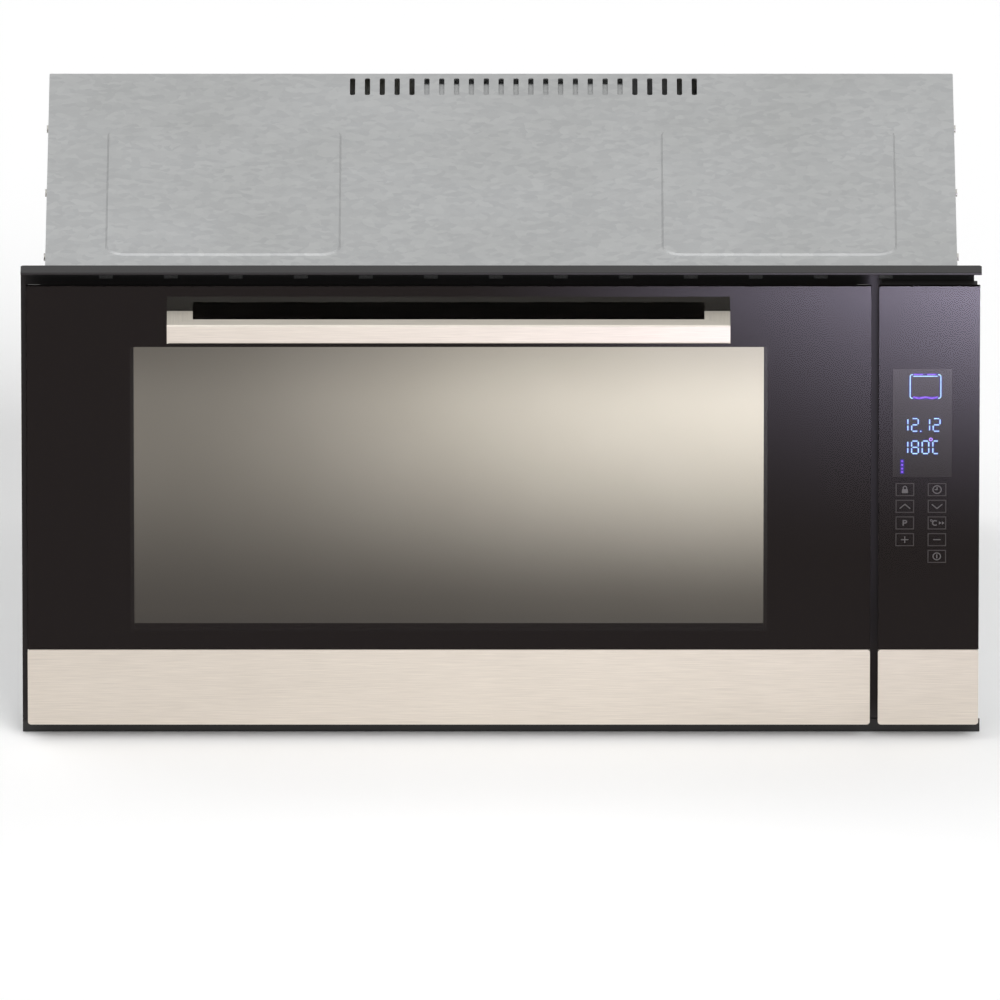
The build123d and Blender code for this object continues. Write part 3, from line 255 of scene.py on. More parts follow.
def speckled_enamel():
    """Dark vitreous enamel with pale specks."""
    material, tree, shader = blank("speckled_enamel")
    spot = place(tree)
    speck = tint(tree, cells(tree, spot, scale=420), dark=(0.34, 0.35, 0.38),
                 light=(0.035, 0.037, 0.043), span=(0.10, 0.2))
    wash = tint(tree, noise(tree, spot, scale=30), dark=(0.85, 0.85, 0.85), light=WHITE)
    paint(tree, shader, blend_colours(tree, 1.0, speck, wash, "MULTIPLY"))
    gloss(tree, shader, noise(tree, spot, scale=300), low=0.14, high=0.24)
    bump(tree, shader, noise(tree, spot, scale=110), strength=0.25, distance=0.0001)
    shader.inputs["Coat Weight"].default_value = 0.3
    return material


def circuit_board():
    """Green solder mask with paler copper tracks."""
    material, tree, shader = blank("circuit_board")
    spot = place(tree)
    across = waves(tree, spot, scale=170, direction="Z", distortion=1.5)
    tracks = tint(tree, across, dark=(0.015, 0.12, 0.05), light=(0.05, 0.27, 0.11),
                  span=(0.62, 0.7))
    pads = tint(tree, cells(tree, spot, scale=260), dark=(0.55, 0.52, 0.42),
                light=(0.0, 0.0, 0.0), span=(0.10, 0.14))
    paint(tree, shader, blend_colours(tree, 1.0, tracks, pads, "LIGHTEN"))
    shader.inputs["Roughness"].default_value = 0.35
    bump(tree, shader, across, strength=0.2, distance=0.00005)
    return material


def wool_blanket():
    """Yellow-white glass wool with long tangled fibres."""
    material, tree, shader = blank("wool_blanket")
    fibres = noise(tree, place(tree, (1.0, 3.0, 3.0)), scale=260, detail=8, roughness=0.75)
    tufts = noise(tree, place(tree), scale=28, detail=4)
    thread = tint(tree, fibres, dark=(0.46, 0.39, 0.22), light=(0.86, 0.80, 0.60))
    patches = tint(tree, tufts, dark=(0.4, 0.33, 0.18), light=(0.95, 0.9, 0.75))
    paint(tree, shader, blend_colours(tree, 0.35, thread, patches))
    bump(tree, shader, calc(tree, "ADD", fibres, tufts), strength=0.9, distance=0.002)
    shader.inputs["Roughness"].default_value = 0.95
    shader.inputs["Specular IOR Level"].default_value = 0.1
    return material


def motor_laminations():
    """A stack of pressed steel sheets, seen on edge."""
    material, tree, shader = blank("motor_laminations")
    edges = waves(tree, place(tree), scale=420, direction="Y", distortion=0.4)
    paint(tree, shader, tint(tree, edges, dark=(0.10, 0.10, 0.105), light=(0.34, 0.34, 0.35),
                             span=(0.2, 0.8)))
    gloss(tree, shader, edges, low=0.45, high=0.6, span=UNIT_SPAN)
    bump(tree, shader, edges, strength=0.5, distance=0.0002)
    shader.inputs["Metallic"].default_value = 0.6
    return material


def pane(name, colour, rough=0.0):
    """Clear glass, with a hardly visible waviness in its tint."""
    material, tree, shader = blank(name)
    wave = noise(tree, place(tree), scale=6, detail=1)
    paint(tree, shader, tint(tree, wave, shade(colour, 0.985), colour))
    shader.inputs["Roughness"].default_value = rough
    shader.inputs["Transmission Weight"].default_value = 1.0
    shader.inputs["IOR"].default_value = 1.5
    return material


def mirror_pane():
    """The heat-reflecting coating that turns the window into a warm mirror."""
    material, tree, shader = blank("mirror_pane")
    cloud = noise(tree, place(tree), scale=9, detail=2)
    paint(tree, shader, tint(tree, cloud, dark=(0.90, 0.825, 0.715), light=(0.93, 0.855, 0.745)))
    gloss(tree, shader, cloud, low=0.03, high=0.05)
    shader.inputs["Metallic"].default_value = 1.0
    return material


def matt(shader):
    shader.inputs["Roughness"].default_value = 0.9
    shader.inputs["Specular IOR Level"].default_value = 0.0


def printed(name, colour, spread=0.06):
    """Matt ink fused to the back of a pane."""
    material, tree, shader = blank(name)
    dust = noise(tree, place(tree), scale=1500)
    paint(tree, shader, tint(tree, dust, shade(colour, 1 - spread), shade(colour, 1 + spread)))
    matt(shader)
    return material


def display_ink_and_painted_sheen():
    """The matt ink behind the display, with a painted sheen that makes it paler towards its top."""
    material, tree, shader = blank("display_print_and_painted_sheen")
    height = axes(tree, place(tree))["Z"]
    # Painted sheen: the dark ink is lightened with height, in place of the glass's reflection.
    paint(tree, shader, tint(tree, height, dark=(0.055, 0.052, 0.049),
                             light=(0.135, 0.128, 0.128), span=(0.27, 0.38)))
    matt(shader)
    return material


def lit(name, core, edge, strength):
    """A lit figure, a little uneven like a real light guide."""
    material, tree, shader = blank(name)
    uneven = noise(tree, place(tree), scale=320, detail=1)
    join(tree, tint(tree, uneven, dark=edge, light=core), shader.inputs["Emission Color"])
    shader.inputs["Emission Strength"].default_value = strength
    shader.inputs["Base Color"].default_value = (0.02, 0.02, 0.03, 1.0)
    shader.inputs["Specular IOR Level"].default_value = 0.0
    return material


black_enamel = finish("black_enamel", (0.013, 0.012, 0.012), 0.42, scale=900, spread=0.2,
                      relief=0.25, depth=0.00002, coat=0.1, coat_rough=0.3)
black_plastic = finish("black_plastic", (0.022, 0.021, 0.021), 0.5, scale=1800, spread=0.25,
                       relief=0.5, depth=0.00004)
grey_plastic = finish("grey_plastic", (0.30, 0.30, 0.29), 0.5, scale=1600, spread=0.1,
                      relief=0.4, depth=0.00003)
seal_rubber = finish("seal_rubber", (0.03, 0.03, 0.03), 0.75, scale=700, spread=0.3,
                     relief=0.8, depth=0.0002)
zinc_steel = finish("zinc_steel", (0.62, 0.61, 0.57), 0.34, metallic=0.9, scale=160,
                    spread=0.12, rough_spread=0.1, relief=0.15, depth=0.00003)
chrome_wire = finish("chrome_wire", (0.80, 0.80, 0.81), 0.16, metallic=1.0, scale=220,
                     spread=0.06, relief=0.06, depth=0.00002)
heater_sheath = finish("heater_sheath", (0.16, 0.15, 0.15), 0.48, metallic=0.75, scale=130,
                       spread=0.35, rough_spread=0.12, relief=0.3, depth=0.00005)
white_ceramic = finish("white_ceramic", (0.80, 0.79, 0.76), 0.4, scale=400, spread=0.05,
                       relief=0.3, depth=0.00004)
spring_steel = finish("spring_steel", (0.34, 0.33, 0.33), 0.3, metallic=0.95, scale=500,
                      spread=0.15, relief=0.1, depth=0.00002)
satin_steel = brushed("satin_steel", (0.76, 0.705, 0.62), along="X")
satin_bracket = brushed("satin_bracket", (0.74, 0.69, 0.60), along="Y")
galvanised = galvanised_sheet()
enamel = speckled_enamel()
board_green = circuit_board()
wool = wool_blanket()
laminations = motor_laminations()
front_pane = pane("front_pane", (0.97, 0.975, 0.97))
clear_pane = pane("clear_pane", (0.90, 0.95, 0.92))
lamp_glass = pane("lamp_glass", (0.97, 0.98, 0.97), rough=0.12)
mirror = mirror_pane()
display_lens = finish("display_lens", (0.03, 0.03, 0.035), 0.1, scale=500, spread=0.2,
                      rough_spread=0.03, relief=0.05, depth=0.00002)
black_print = printed("black_print", (0.004, 0.0036, 0.0036))
spacer_print = printed("spacer_print", (0.012, 0.011, 0.009))
display_print_and_painted_sheen = display_ink_and_painted_sheen()
key_print = printed("key_print", (0.16, 0.15, 0.147))
symbol_print = printed("symbol_print", (0.40, 0.39, 0.39))
figure_light = lit("figure_light", (0.50, 0.84, 1.0), (0.36, 0.56, 1.0), strength=1.25)
violet_light = lit("violet_light", (0.34, 0.14, 1.0), (0.22, 0.07, 0.90), strength=1.0)
violet_bright = lit("violet_bright", (0.52, 0.34, 1.0), (0.36, 0.18, 1.0), strength=1.6)
halo_light = lit("halo_light", (0.045, 0.03, 0.40), (0.03, 0.02, 0.26), strength=0.8)
vent_gauze = finish("vent_gauze", (0.13, 0.13, 0.13), 0.6, scale=1400, spread=0.5,
                    relief=0.6, depth=0.0001)

FINISHES = (
    (black_enamel, "front_frame top_trim bottom_trim left_side_trim door_side_profiles"),
    (front_pane, "door_outer_glass control_panel_glass"),
    (mirror, "door_middle_glass"),
    (clear_pane, "door_inner_glass"),
    (lamp_glass, "lamp_cover"),
    (satin_steel, "door_bottom_strip control_panel_strip handle_bar"),
    (satin_bracket, "handle_brackets"),
    (galvanised, "air_duct blower_housing base_pan side_panel_left side_panel_right top_panel "
                 "rear_panel rear_cover door_bottom_profile hinge_channels hinge_receivers"),
    (enamel, "oven_cavity cavity_front_plate door_liner fan_cover baking_tray"),
    (chrome_wire, "wire_shelf shelf_ladders"),
    (heater_sheath, "ring_element grill_element bottom_element temperature_probe"),
    (zinc_steel, "hinge_arms hinge_pins hinge_rods convection_fan handle_screws housing_screws "
                 "safety_thermostat"),
    (spring_steel, "hinge_springs"),
    (black_plastic, "control_panel_carrier door_top_cap glass_rails blower_rotor terminal_block "
                    "handle_gaskets"),
    (grey_plastic, "door_end_caps terminal_cover"),
    (display_lens, "display_module"),
    (board_green, "touch_board power_board"),
    (seal_rubber, "door_seal"),
    (wool, "insulation"),
    (white_ceramic, "lamp_holder"),
    (laminations, "fan_motor blower_motor"),
)


def dress_nodes():
    """Every node of the model gets its finish."""
    dressed = set()
    for material, names in FINISHES:
        for name in names.split():
            mesh = nodes[name].data
            mesh.materials.clear()
            mesh.materials.append(material)
            dressed.add(name)
    undressed = sorted(set(nodes) - dressed)
    if undressed:
        raise ValueError(f"nodes without a finish: {undressed}")


dress_nodes()

# Flat drawn pieces, inside the thickness of the panes unless their depths say otherwise

GLASS_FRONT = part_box("door_outer_glass")[0].y / MM
EDGE_DEPTHS = (0.35, 3.84)
LINE_DEPTHS = (3.70, 3.75)
HALO_DEPTHS = (3.76, 3.79)
SIGN_HALO_DEPTHS = (3.792, 3.796)
AREA_DEPTHS = (3.80, 3.85)
PRINT_DEPTHS = (3.86, 3.94)
FULL_TURN = 360


def corners(left, right, low, high):
    """A rectangle's corners, anticlockwise as seen from the front."""
    return [(left, low), (right, low), (right, high), (left, high)]


class Drawing:
    """Closed flat shapes in one mesh, in (x, z) from a centre, at depths behind the glass front."""

    def __init__(self, depths, centre=(0.0, 0.0)):
        self.mesh = bmesh.new()
        self.centre = centre
        self.planes = [GLASS_FRONT + depth for depth in depths]

    def vertex(self, x, z, plane):
        middle_x, middle_z = self.centre
        return self.mesh.verts.new(
            ((middle_x + x) * MM, self.planes[plane] * MM, (middle_z + z) * MM)
        )

    def polygon(self, points):
        """A filled outline, given anticlockwise as seen from the front."""
        front = [self.vertex(x, z, 0) for x, z in points]
        back = [self.vertex(x, z, 1) for x, z in points]
        self.mesh.faces.new(front)
        self.mesh.faces.new(back[::-1])
        for i in range(len(points)):
            j = (i + 1) % len(points)
            self.mesh.faces.new((front[j], front[i], back[i], back[j]))

    def disc(self, x, z, radius, sides=12):
        turn = 2 * math.pi / sides
        self.polygon([(x + radius * math.cos(i * turn), z + radius * math.sin(i * turn))
                      for i in range(sides)])

    def line(self, points, width, closed=False):
        """A line of that width with mitred corners."""
        count = len(points)
        sides = []
        for i, (x, z) in enumerate(points):
            legs = []
            if closed or i > 0:
                legs.append((points[i - 1], points[i]))
            if closed or i < count - 1:
                legs.append((points[i], points[(i + 1) % count]))
            normals = []
            for (start_x, start_z), (end_x, end_z) in legs:
                length = math.hypot(end_x - start_x, end_z - start_z)
                normals.append(((start_z - end_z) / length, (end_x - start_x) / length))
            mean_x = sum(normal[0] for normal in normals) / len(normals)
            mean_z = sum(normal[1] for normal in normals) / len(normals)
            reach = width / 2 / (mean_x * mean_x + mean_z * mean_z)
            off_x, off_z = mean_x * reach, mean_z * reach
            sides.append(((x + off_x, z + off_z), (x - off_x, z - off_z)))
        rings = [(self.vertex(*left, 0), self.vertex(*right, 0),
                  self.vertex(*right, 1), self.vertex(*left, 1)) for left, right in sides]
        for i in range(count if closed else count - 1):
            here, there = rings[i], rings[(i + 1) % count]
            for k in range(4):
                m = (k + 1) % 4
                self.mesh.faces.new((here[k], here[m], there[m], there[k]))
        if not closed:
            self.mesh.faces.new(rings[0][::-1])
            self.mesh.faces.new(rings[-1])

    def arc(self, x, z, radius, start, end, width, steps):
        """A round line, from start to end degrees."""
        closed = end - start >= FULL_TURN
        angles = [math.radians(start + (end - start) * i / steps) for i in range(steps + 1)]
        if closed:
            angles.pop()
        self.line([(x + radius * math.cos(angle), z + radius * math.sin(angle))
                   for angle in angles], width, closed)

    def bar(self, left, right, low, high):
        self.polygon(corners(left, right, low, high))

    def frame(self, outer, inner):
        """A sheet with a hole: both are (left, right, low, high)."""
        rings = [[[self.vertex(x, z, plane) for x, z in corners(*edges)] for plane in (0, 1)]
                 for edges in (outer, inner)]
        (outer_front, outer_back), (inner_front, inner_back) = rings
        for i in range(4):
            j = (i + 1) % 4
            self.mesh.faces.new((outer_front[i], outer_front[j], inner_front[j], inner_front[i]))
            self.mesh.faces.new((outer_back[j], outer_back[i], inner_back[i], inner_back[j]))
            self.mesh.faces.new((outer_front[j], outer_front[i], outer_back[i], outer_back[j]))
            self.mesh.faces.new((inner_front[i], inner_front[j], inner_back[j], inner_back[i]))

    def finish(self, name, material, body, slot):
        """The drawing as a piece that rides on a body."""
        bmesh.ops.recalc_face_normals(self.mesh, faces=self.mesh.faces)
        data = bpy.data.meshes.new(name)
        self.mesh.to_mesh(data)
        self.mesh.free()
        data.materials.append(material)
        piece = bpy.data.objects.new(name, data)
        scene.collection.objects.link(piece)
        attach(piece, body)


def sheet_edges(node, margin):
    """A pane's left, right, low and high edges, drawn in by the margin."""
    low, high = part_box(node)
    return (low.x / MM + margin, high.x / MM - margin, low.z / MM + margin, high.z / MM - margin)


# Prints, blackened edges and the gauze

WINDOW_LEFT, WINDOW_RIGHT, WINDOW_LOW, WINDOW_HIGH = -346.4, 248.5, 110.4, 400.7
PRINT_MARGIN = 0.15
SPACER_MARGIN = 1.0
SPACER_INSET = 3.4
SPACER_DROP = 9.0
SPACER_RISE = 4.0
# The spacer's print stands this far in front of the mirrored pane, from its front and its back.
SPACER_FRONT_GAP, SPACER_BACK_GAP = 0.3, 0.05
EDGE_COVER = 0.05
EDGE_INSET = 0.12
GAUZE_EDGES = (-393.0, 383.0, 461.0, 470.0)
GAUZE_SETBACK = 1.3
GAUZE_THICKNESS = 0.4
DISPLAY_EDGES = (365.6, 420.6, 268.0, 378.3)


def draw_prints():
    front_print = Drawing(PRINT_DEPTHS)
    front_print.frame(sheet_edges("door_outer_glass", PRINT_MARGIN),
                      (WINDOW_LEFT, WINDOW_RIGHT, WINDOW_LOW, WINDOW_HIGH))
    front_print.finish("door_front_print", black_print, "door", "door_glass")

    mirror_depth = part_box("door_middle_glass")[0].y / MM - GLASS_FRONT
    spacer = Drawing((mirror_depth - SPACER_FRONT_GAP, mirror_depth - SPACER_BACK_GAP))
    spacer.frame(sheet_edges("door_middle_glass", SPACER_MARGIN),
                 (WINDOW_LEFT + SPACER_INSET, WINDOW_RIGHT - SPACER_INSET,
                  WINDOW_LOW - SPACER_DROP, WINDOW_HIGH + SPACER_RISE))
    spacer.finish("middle_glass_print", spacer_print, "door", "mirror_glass")

    panel_print = Drawing(PRINT_DEPTHS)
    panel_print.bar(*sheet_edges("control_panel_glass", PRINT_MARGIN))
    panel_print.finish("panel_front_print", black_print, "root", "door_glass")


def draw_glass_edges():
    """The two front panes look black on edge."""
    for node, body in (("door_outer_glass", "door"), ("control_panel_glass", "root")):
        rim = Drawing(EDGE_DEPTHS)
        rim.frame(sheet_edges(node, -EDGE_COVER), sheet_edges(node, EDGE_INSET))
        rim.finish(f"{node}_edge", black_print, body, "door_glass")


def draw_gauze():
    """The gauze behind the vent slots."""
    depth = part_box("front_frame")[0].y / MM - GLASS_FRONT + GAUZE_SETBACK
    gauze = Drawing((depth, depth + GAUZE_THICKNESS))
    gauze.bar(*GAUZE_EDGES)
    gauze.finish("vent_gauze", vent_gauze, "root", "black_steel")


def draw_display_window():
    display_area = Drawing(AREA_DEPTHS)
    # The display's ink carries a painted sheen, paler towards its top.
    display_area.bar(*DISPLAY_EDGES)
    display_area.finish("display_window_print_and_sheen", display_print_and_painted_sheen, "root", "display")


draw_prints()
draw_glass_edges()
draw_gauze()
draw_display_window()

# Keys, each with its mark drawn from the key's centre

KEY_COLUMNS = (377.1, 407.1)
KEY_ROWS = (255.2, 238.1, 221.1, 204.0, 186.9)
KEY_WIDTH, KEY_HEIGHT = 16.4, 12.3
KEY_LINE = 0.95
MARK_LINE = 0.95
ROUND_LINE = 1.0
BOLD_LINE = 1.1
CIRCLE_STEPS = 28

LOCK_BODY = ((-2.5, -3.6), (2.5, -3.6), (2.9, -3.0), (2.7, 0.4), (-2.7, 0.4), (-2.9, -3.0))
LOCK_BODY_TOP = 0.4
SHACKLE_RADIUS = 1.6
SHACKLE_CENTRE = 1.8
CLOCK_RADIUS = 3.9
CLOCK_HANDS = ((0.0, 2.5), (0.0, 0.0), (-2.3, 0.0))
ARROW_REACH = 4.9
ARROW_TIP, ARROW_FOOT = 2.1, -2.3
LETTER_P = ((-1.5, -2.8), (-1.5, 2.5), (0.5, 2.5), (1.6, 1.8), (1.6, 0.6), (0.5, -0.1),
            (-1.1, -0.1))
RING_X, RING_Z, RING_RADIUS, RING_LINE = -5.2, 2.5, 0.9, 0.6
LETTER_C_X, LETTER_C_RADIUS = -1.7, 2.4
LETTER_C_START, LETTER_C_END = 50, 310
POINTER_STARTS = (1.9, 4.7)
POINTER_LENGTH = 2.3
POINTER_HALF = 1.7
DASH_REACH = 3.5
PLUS_REACH = 3.4
POWER_RADIUS = 3.5
POWER_STROKE = 2.0


def mark_lock(sign):
    sign.polygon(LOCK_BODY)
    for x in (-SHACKLE_RADIUS, SHACKLE_RADIUS):
        sign.line([(x, LOCK_BODY_TOP), (x, SHACKLE_CENTRE)], ROUND_LINE)
    sign.arc(0, SHACKLE_CENTRE, SHACKLE_RADIUS, 0, 180, ROUND_LINE, steps=10)


def mark_clock(sign):
    sign.arc(0, 0, CLOCK_RADIUS, 0, FULL_TURN, MARK_LINE, CIRCLE_STEPS)
    sign.line(CLOCK_HANDS, MARK_LINE)


def arrow(sign, tip, foot):
    sign.line([(-ARROW_REACH, foot), (0, tip), (ARROW_REACH, foot)], MARK_LINE)


def mark_up(sign):
    arrow(sign, ARROW_TIP, ARROW_FOOT)


def mark_down(sign):
    arrow(sign, ARROW_FOOT, ARROW_TIP)


def mark_program(sign):
    sign.line(LETTER_P, BOLD_LINE)


def mark_degrees(sign):
    """A degree ring, a C and two pointers."""
    sign.arc(RING_X, RING_Z, RING_RADIUS, 0, FULL_TURN, RING_LINE, steps=10)
    sign.arc(LETTER_C_X, 0, LETTER_C_RADIUS, LETTER_C_START, LETTER_C_END, BOLD_LINE, steps=14)
    for x in POINTER_STARTS:
        sign.polygon([(x, -POINTER_HALF), (x + POINTER_LENGTH, 0), (x, POINTER_HALF)])


def mark_minus(sign):
    sign.line([(-DASH_REACH, 0), (DASH_REACH, 0)], MARK_LINE)


def mark_plus(sign):
    """The dash of the minus, with a stroke above and one below that only touch it."""
    mark_minus(sign)
    for way in (1, -1):
        sign.line([(0, way * MARK_LINE / 2), (0, way * PLUS_REACH)], MARK_LINE)


def mark_power(sign):
    sign.arc(0, 0, POWER_RADIUS, 0, FULL_TURN, ROUND_LINE, CIRCLE_STEPS)
    sign.line([(0, -POWER_STROKE), (0, POWER_STROKE)], BOLD_LINE)


# Each key's name, its mark, its column and its row.
KEYS = (
    ("lock", mark_lock, 0, 0), ("clock", mark_clock, 1, 0),
    ("up", mark_up, 0, 1), ("down", mark_down, 1, 1),
    ("program", mark_program, 0, 2), ("degrees", mark_degrees, 1, 2),
    ("plus", mark_plus, 0, 3), ("minus", mark_minus, 1, 3),
    ("power", mark_power, 1, 4),
)


def draw_keys():
    """A border and a mark for each touch key."""
    edges = (-KEY_WIDTH / 2, KEY_WIDTH / 2, -KEY_HEIGHT / 2, KEY_HEIGHT / 2)
    for label, mark, column, row in KEYS:
        centre = (KEY_COLUMNS[column], KEY_ROWS[row])
        border = Drawing(LINE_DEPTHS, centre)
        border.line(corners(*edges), KEY_LINE, closed=True)
        border.finish(f"key_border_{label}", key_print, "root", "door_glass")
        sign = Drawing(LINE_DEPTHS, centre)
        mark(sign)
        sign.finish(f"key_mark_{label}", symbol_print, "root", "door_glass")


draw_keys()

# Lit display

SEGMENTS = {"1": "bc", "2": "abged", "8": "abcdefg", "0": "abcdef", "C": "afed"}
SEGMENT_GAP = 0.75
FIGURE_LINE = 1.1
HALO_LINE = 2.9
TIME_ROW = (314.9, 327.7)
HEAT_ROW = (292.0, 304.8)
# Each figure, its left and right ends and its row.
FIGURES = (
    ("1", 373.2, 379.6, TIME_ROW), ("2", 383.2, 389.2, TIME_ROW),
    ("1", 393.5, 399.9, TIME_ROW), ("2", 403.2, 409.6, TIME_ROW),
    ("1", 373.2, 379.6, HEAT_ROW), ("8", 383.2, 389.4, HEAT_ROW),
    ("0", 393.0, 399.2, HEAT_ROW), ("C", 403.0, 408.4, HEAT_ROW),
)
POINT_X = 391.6
POINT_DROP = 0.1
POINT_SHARE = 0.55
DEGREE_X, DEGREE_Z = 401.1, 306.4
DEGREE_RADIUS = 1.35
DEGREE_LINE = 0.9

SIGN_LEFT, SIGN_RIGHT, SIGN_LOW, SIGN_HIGH = 381.6, 410.2, 348.4, 372.6
SIGN_CORNER = 1.6
SIGN_LINE = 1.0
# Each side of the oven sign hooks inwards at both ends, with one bend on the way.
SIGN_HOOK = 2.6
SIGN_BEND, SIGN_BEND_DROP = 0.9, 0.3
GRILL_DROP = 1.7
GRILL_LEFT_INSET, GRILL_RIGHT_INSET = 2.9, 3.0
GRILL_LINE = 0.95
# The violet bars over the sign, from which to which share of its width.
HEAT_BARS = ((0.12, 0.42), (0.55, 0.84))
HEAT_BAR_RISE = 0.1
HEAT_BAR_LINE = 1.3
# The violet wave along the sign's foot.
WAVE_STEPS = 32
WAVE_COUNT = 2
WAVE_LIFT = 0.55
WAVE_INSET = 2.8
WAVE_RISE = 0.6
WAVE_LINE = 1.7
SIDE_HALO_LINE = 2.6
TOP_HALO_LINE, TOP_HALO_DROP = 3.6, 0.6
FOOT_HALO_LINE, FOOT_HALO_RISE = 3.2, 0.4
HALO_INSET = 2.0

DOT_ROWS = (284.2, 280.4, 276.6, 273.2)
DOT_X = 374.4
DOT_RADIUS = 1.05
DOT_HALO_SIDE = 1.9
DOT_HALO_END = 2.0


def digit(drawing, figure, left, right, low, high, width):
    """One seven-segment figure; a one is drawn at its right edge."""
    middle = (low + high) / 2
    inner_left, inner_right = left + SEGMENT_GAP, right - SEGMENT_GAP
    ends = {
        "a": ((inner_left, high), (inner_right, high)),
        "g": ((inner_left, middle), (inner_right, middle)),
        "d": ((inner_left, low), (inner_right, low)),
        "f": ((left, high - SEGMENT_GAP), (left, middle + SEGMENT_GAP)),
        "e": ((left, middle - SEGMENT_GAP), (left, low + SEGMENT_GAP)),
        "b": ((right, high - SEGMENT_GAP), (right, middle + SEGMENT_GAP)),
        "c": ((right, middle - SEGMENT_GAP), (right, low + SEGMENT_GAP)),
    }
    for segment in SEGMENTS[figure]:
        drawing.line(ends[segment], width)


def draw_figures(name, material, depths, width):
    """The time over the temperature."""
    figures = Drawing(depths)
    for figure, left, right, row in FIGURES:
        digit(figures, figure, left, right, *row, width)
    figures.disc(POINT_X, TIME_ROW[0] - POINT_DROP, width * POINT_SHARE)
    figures.finish(name, material, "root", "display")


def draw_oven_sign():
    """A lit oven outline, with its heat above and below."""
    sign = Drawing(LINE_DEPTHS)
    for x, way in ((SIGN_LEFT, 1), (SIGN_RIGHT, -1)):
        sign.line([(x + way * SIGN_HOOK, SIGN_HIGH),
                   (x + way * SIGN_BEND, SIGN_HIGH - SIGN_BEND_DROP),
                   (x, SIGN_HIGH - SIGN_CORNER),
                   (x, SIGN_LOW + SIGN_CORNER),
                   (x + way * SIGN_BEND, SIGN_LOW + SIGN_BEND_DROP),
                   (x + way * SIGN_HOOK, SIGN_LOW)], SIGN_LINE)
    sign.line([(SIGN_LEFT + GRILL_LEFT_INSET, SIGN_HIGH - GRILL_DROP),
               (SIGN_RIGHT - GRILL_RIGHT_INSET, SIGN_HIGH - GRILL_DROP)], GRILL_LINE)
    sign.finish("display_oven_sign", figure_light, "root", "display")

    heat = Drawing(HALO_DEPTHS)
    sign_width = SIGN_RIGHT - SIGN_LEFT
    for start, end in HEAT_BARS:
        heat.line([(SIGN_LEFT + sign_width * start, SIGN_HIGH + HEAT_BAR_RISE),
                   (SIGN_LEFT + sign_width * end, SIGN_HIGH + HEAT_BAR_RISE)], HEAT_BAR_LINE)
    wave = []
    for i in range(WAVE_STEPS + 1):
        share = i / WAVE_STEPS
        lift = WAVE_LIFT * math.cos(2 * math.pi * WAVE_COUNT * share)
        wave.append((SIGN_LEFT + WAVE_INSET + (sign_width - 2 * WAVE_INSET) * share,
                     SIGN_LOW + WAVE_RISE + lift))
    heat.line(wave, WAVE_LINE)
    heat.finish("display_oven_heat", violet_light, "root", "display")

    halo = Drawing(SIGN_HALO_DEPTHS)
    for x in (SIGN_LEFT, SIGN_RIGHT):
        halo.line([(x, SIGN_HIGH - SIGN_CORNER), (x, SIGN_LOW + SIGN_CORNER)], SIDE_HALO_LINE)
    for z, width in ((SIGN_HIGH - TOP_HALO_DROP, TOP_HALO_LINE),
                     (SIGN_LOW + FOOT_HALO_RISE, FOOT_HALO_LINE)):
        halo.line([(SIGN_LEFT + HALO_INSET, z), (SIGN_RIGHT - HALO_INSET, z)], width)
    halo.finish("display_oven_halo", halo_light, "root", "display")


def draw_dots():
    """A column of violet dots in one glow."""
    halo = Drawing(HALO_DEPTHS)
    halo.bar(DOT_X - DOT_HALO_SIDE, DOT_X + DOT_HALO_SIDE,
             DOT_ROWS[-1] - DOT_HALO_END, DOT_ROWS[0] + DOT_HALO_END)
    halo.finish("display_dots_halo", halo_light, "root", "display")
    dots = Drawing(LINE_DEPTHS)
    for z in DOT_ROWS:
        dots.disc(DOT_X, z, DOT_RADIUS)
    dots.finish("display_dots", violet_light, "root", "display")


def draw_degree():
    """The small ring before the temperature's C."""
    degree = Drawing(LINE_DEPTHS)
    degree.arc(DEGREE_X, DEGREE_Z, DEGREE_RADIUS, 0, FULL_TURN, DEGREE_LINE, steps=14)
    degree.finish("display_degree", violet_bright, "root", "display")


draw_figures("display_figures", figure_light, LINE_DEPTHS, FIGURE_LINE)
draw_figures("display_figures_halo", halo_light, HALO_DEPTHS, HALO_LINE)
draw_oven_sign()
draw_dots()
draw_degree()

# Studio

FLOOR_SIDE = 120.0
FLOOR_DROP = 0.0005
CARD_WIDTH, CARD_LENGTH = 5.0, 3.2
CARD_LIFT = 0.0002

# What mirrored rays see on the card: a warm grey, with a bright patch that starts beyond the first
# distance of each span and is full at the second. Distances are from the glass and the middle.
SHEEN_GREY, SHEEN_BRIGHT = (0.44, 0.36, 0.35), (6.2, 5.6, 7.3)
SHEEN_AWAY, SHEEN_ACROSS = (0.391, 1.033), (-0.0665, 0.46)
SHEEN_AWAY_POWER, SHEEN_ACROSS_POWER = 2.2, 2.0
# What rays through the panes see: two levels that rise with the distance, one for each side.
RIGHT_AWAY, RIGHT_LEVELS = (0.25, 0.76), (0.115, 0.985)
LEFT_AWAY, LEFT_LEVELS = (0.25, 0.70), (0.070, 0.215)
LEFT_TO_RIGHT = (-0.335, 0.245)
FADE_AWAY, FADE_LEVELS = (0.74, 0.95), (1.0, 0.62)

# The room's grey in glass and metal rises with height and towards the front.
HEIGHT_SPAN, HEIGHT_LEVELS = (0.05, 0.95), (0.0, 0.55)
BACK_TO_FRONT, ROOM_LEVELS = (0.7, -0.7), (0.34, 0.62)
ROOM_DIFFUSE = 0.56

FRONT_LIGHT_SIZE = (0.5, 0.12)
FRONT_LIGHT_X, FRONT_LIGHT_Z = 0.03, 0.16
FRONT_LIGHT_AWAY = 0.62


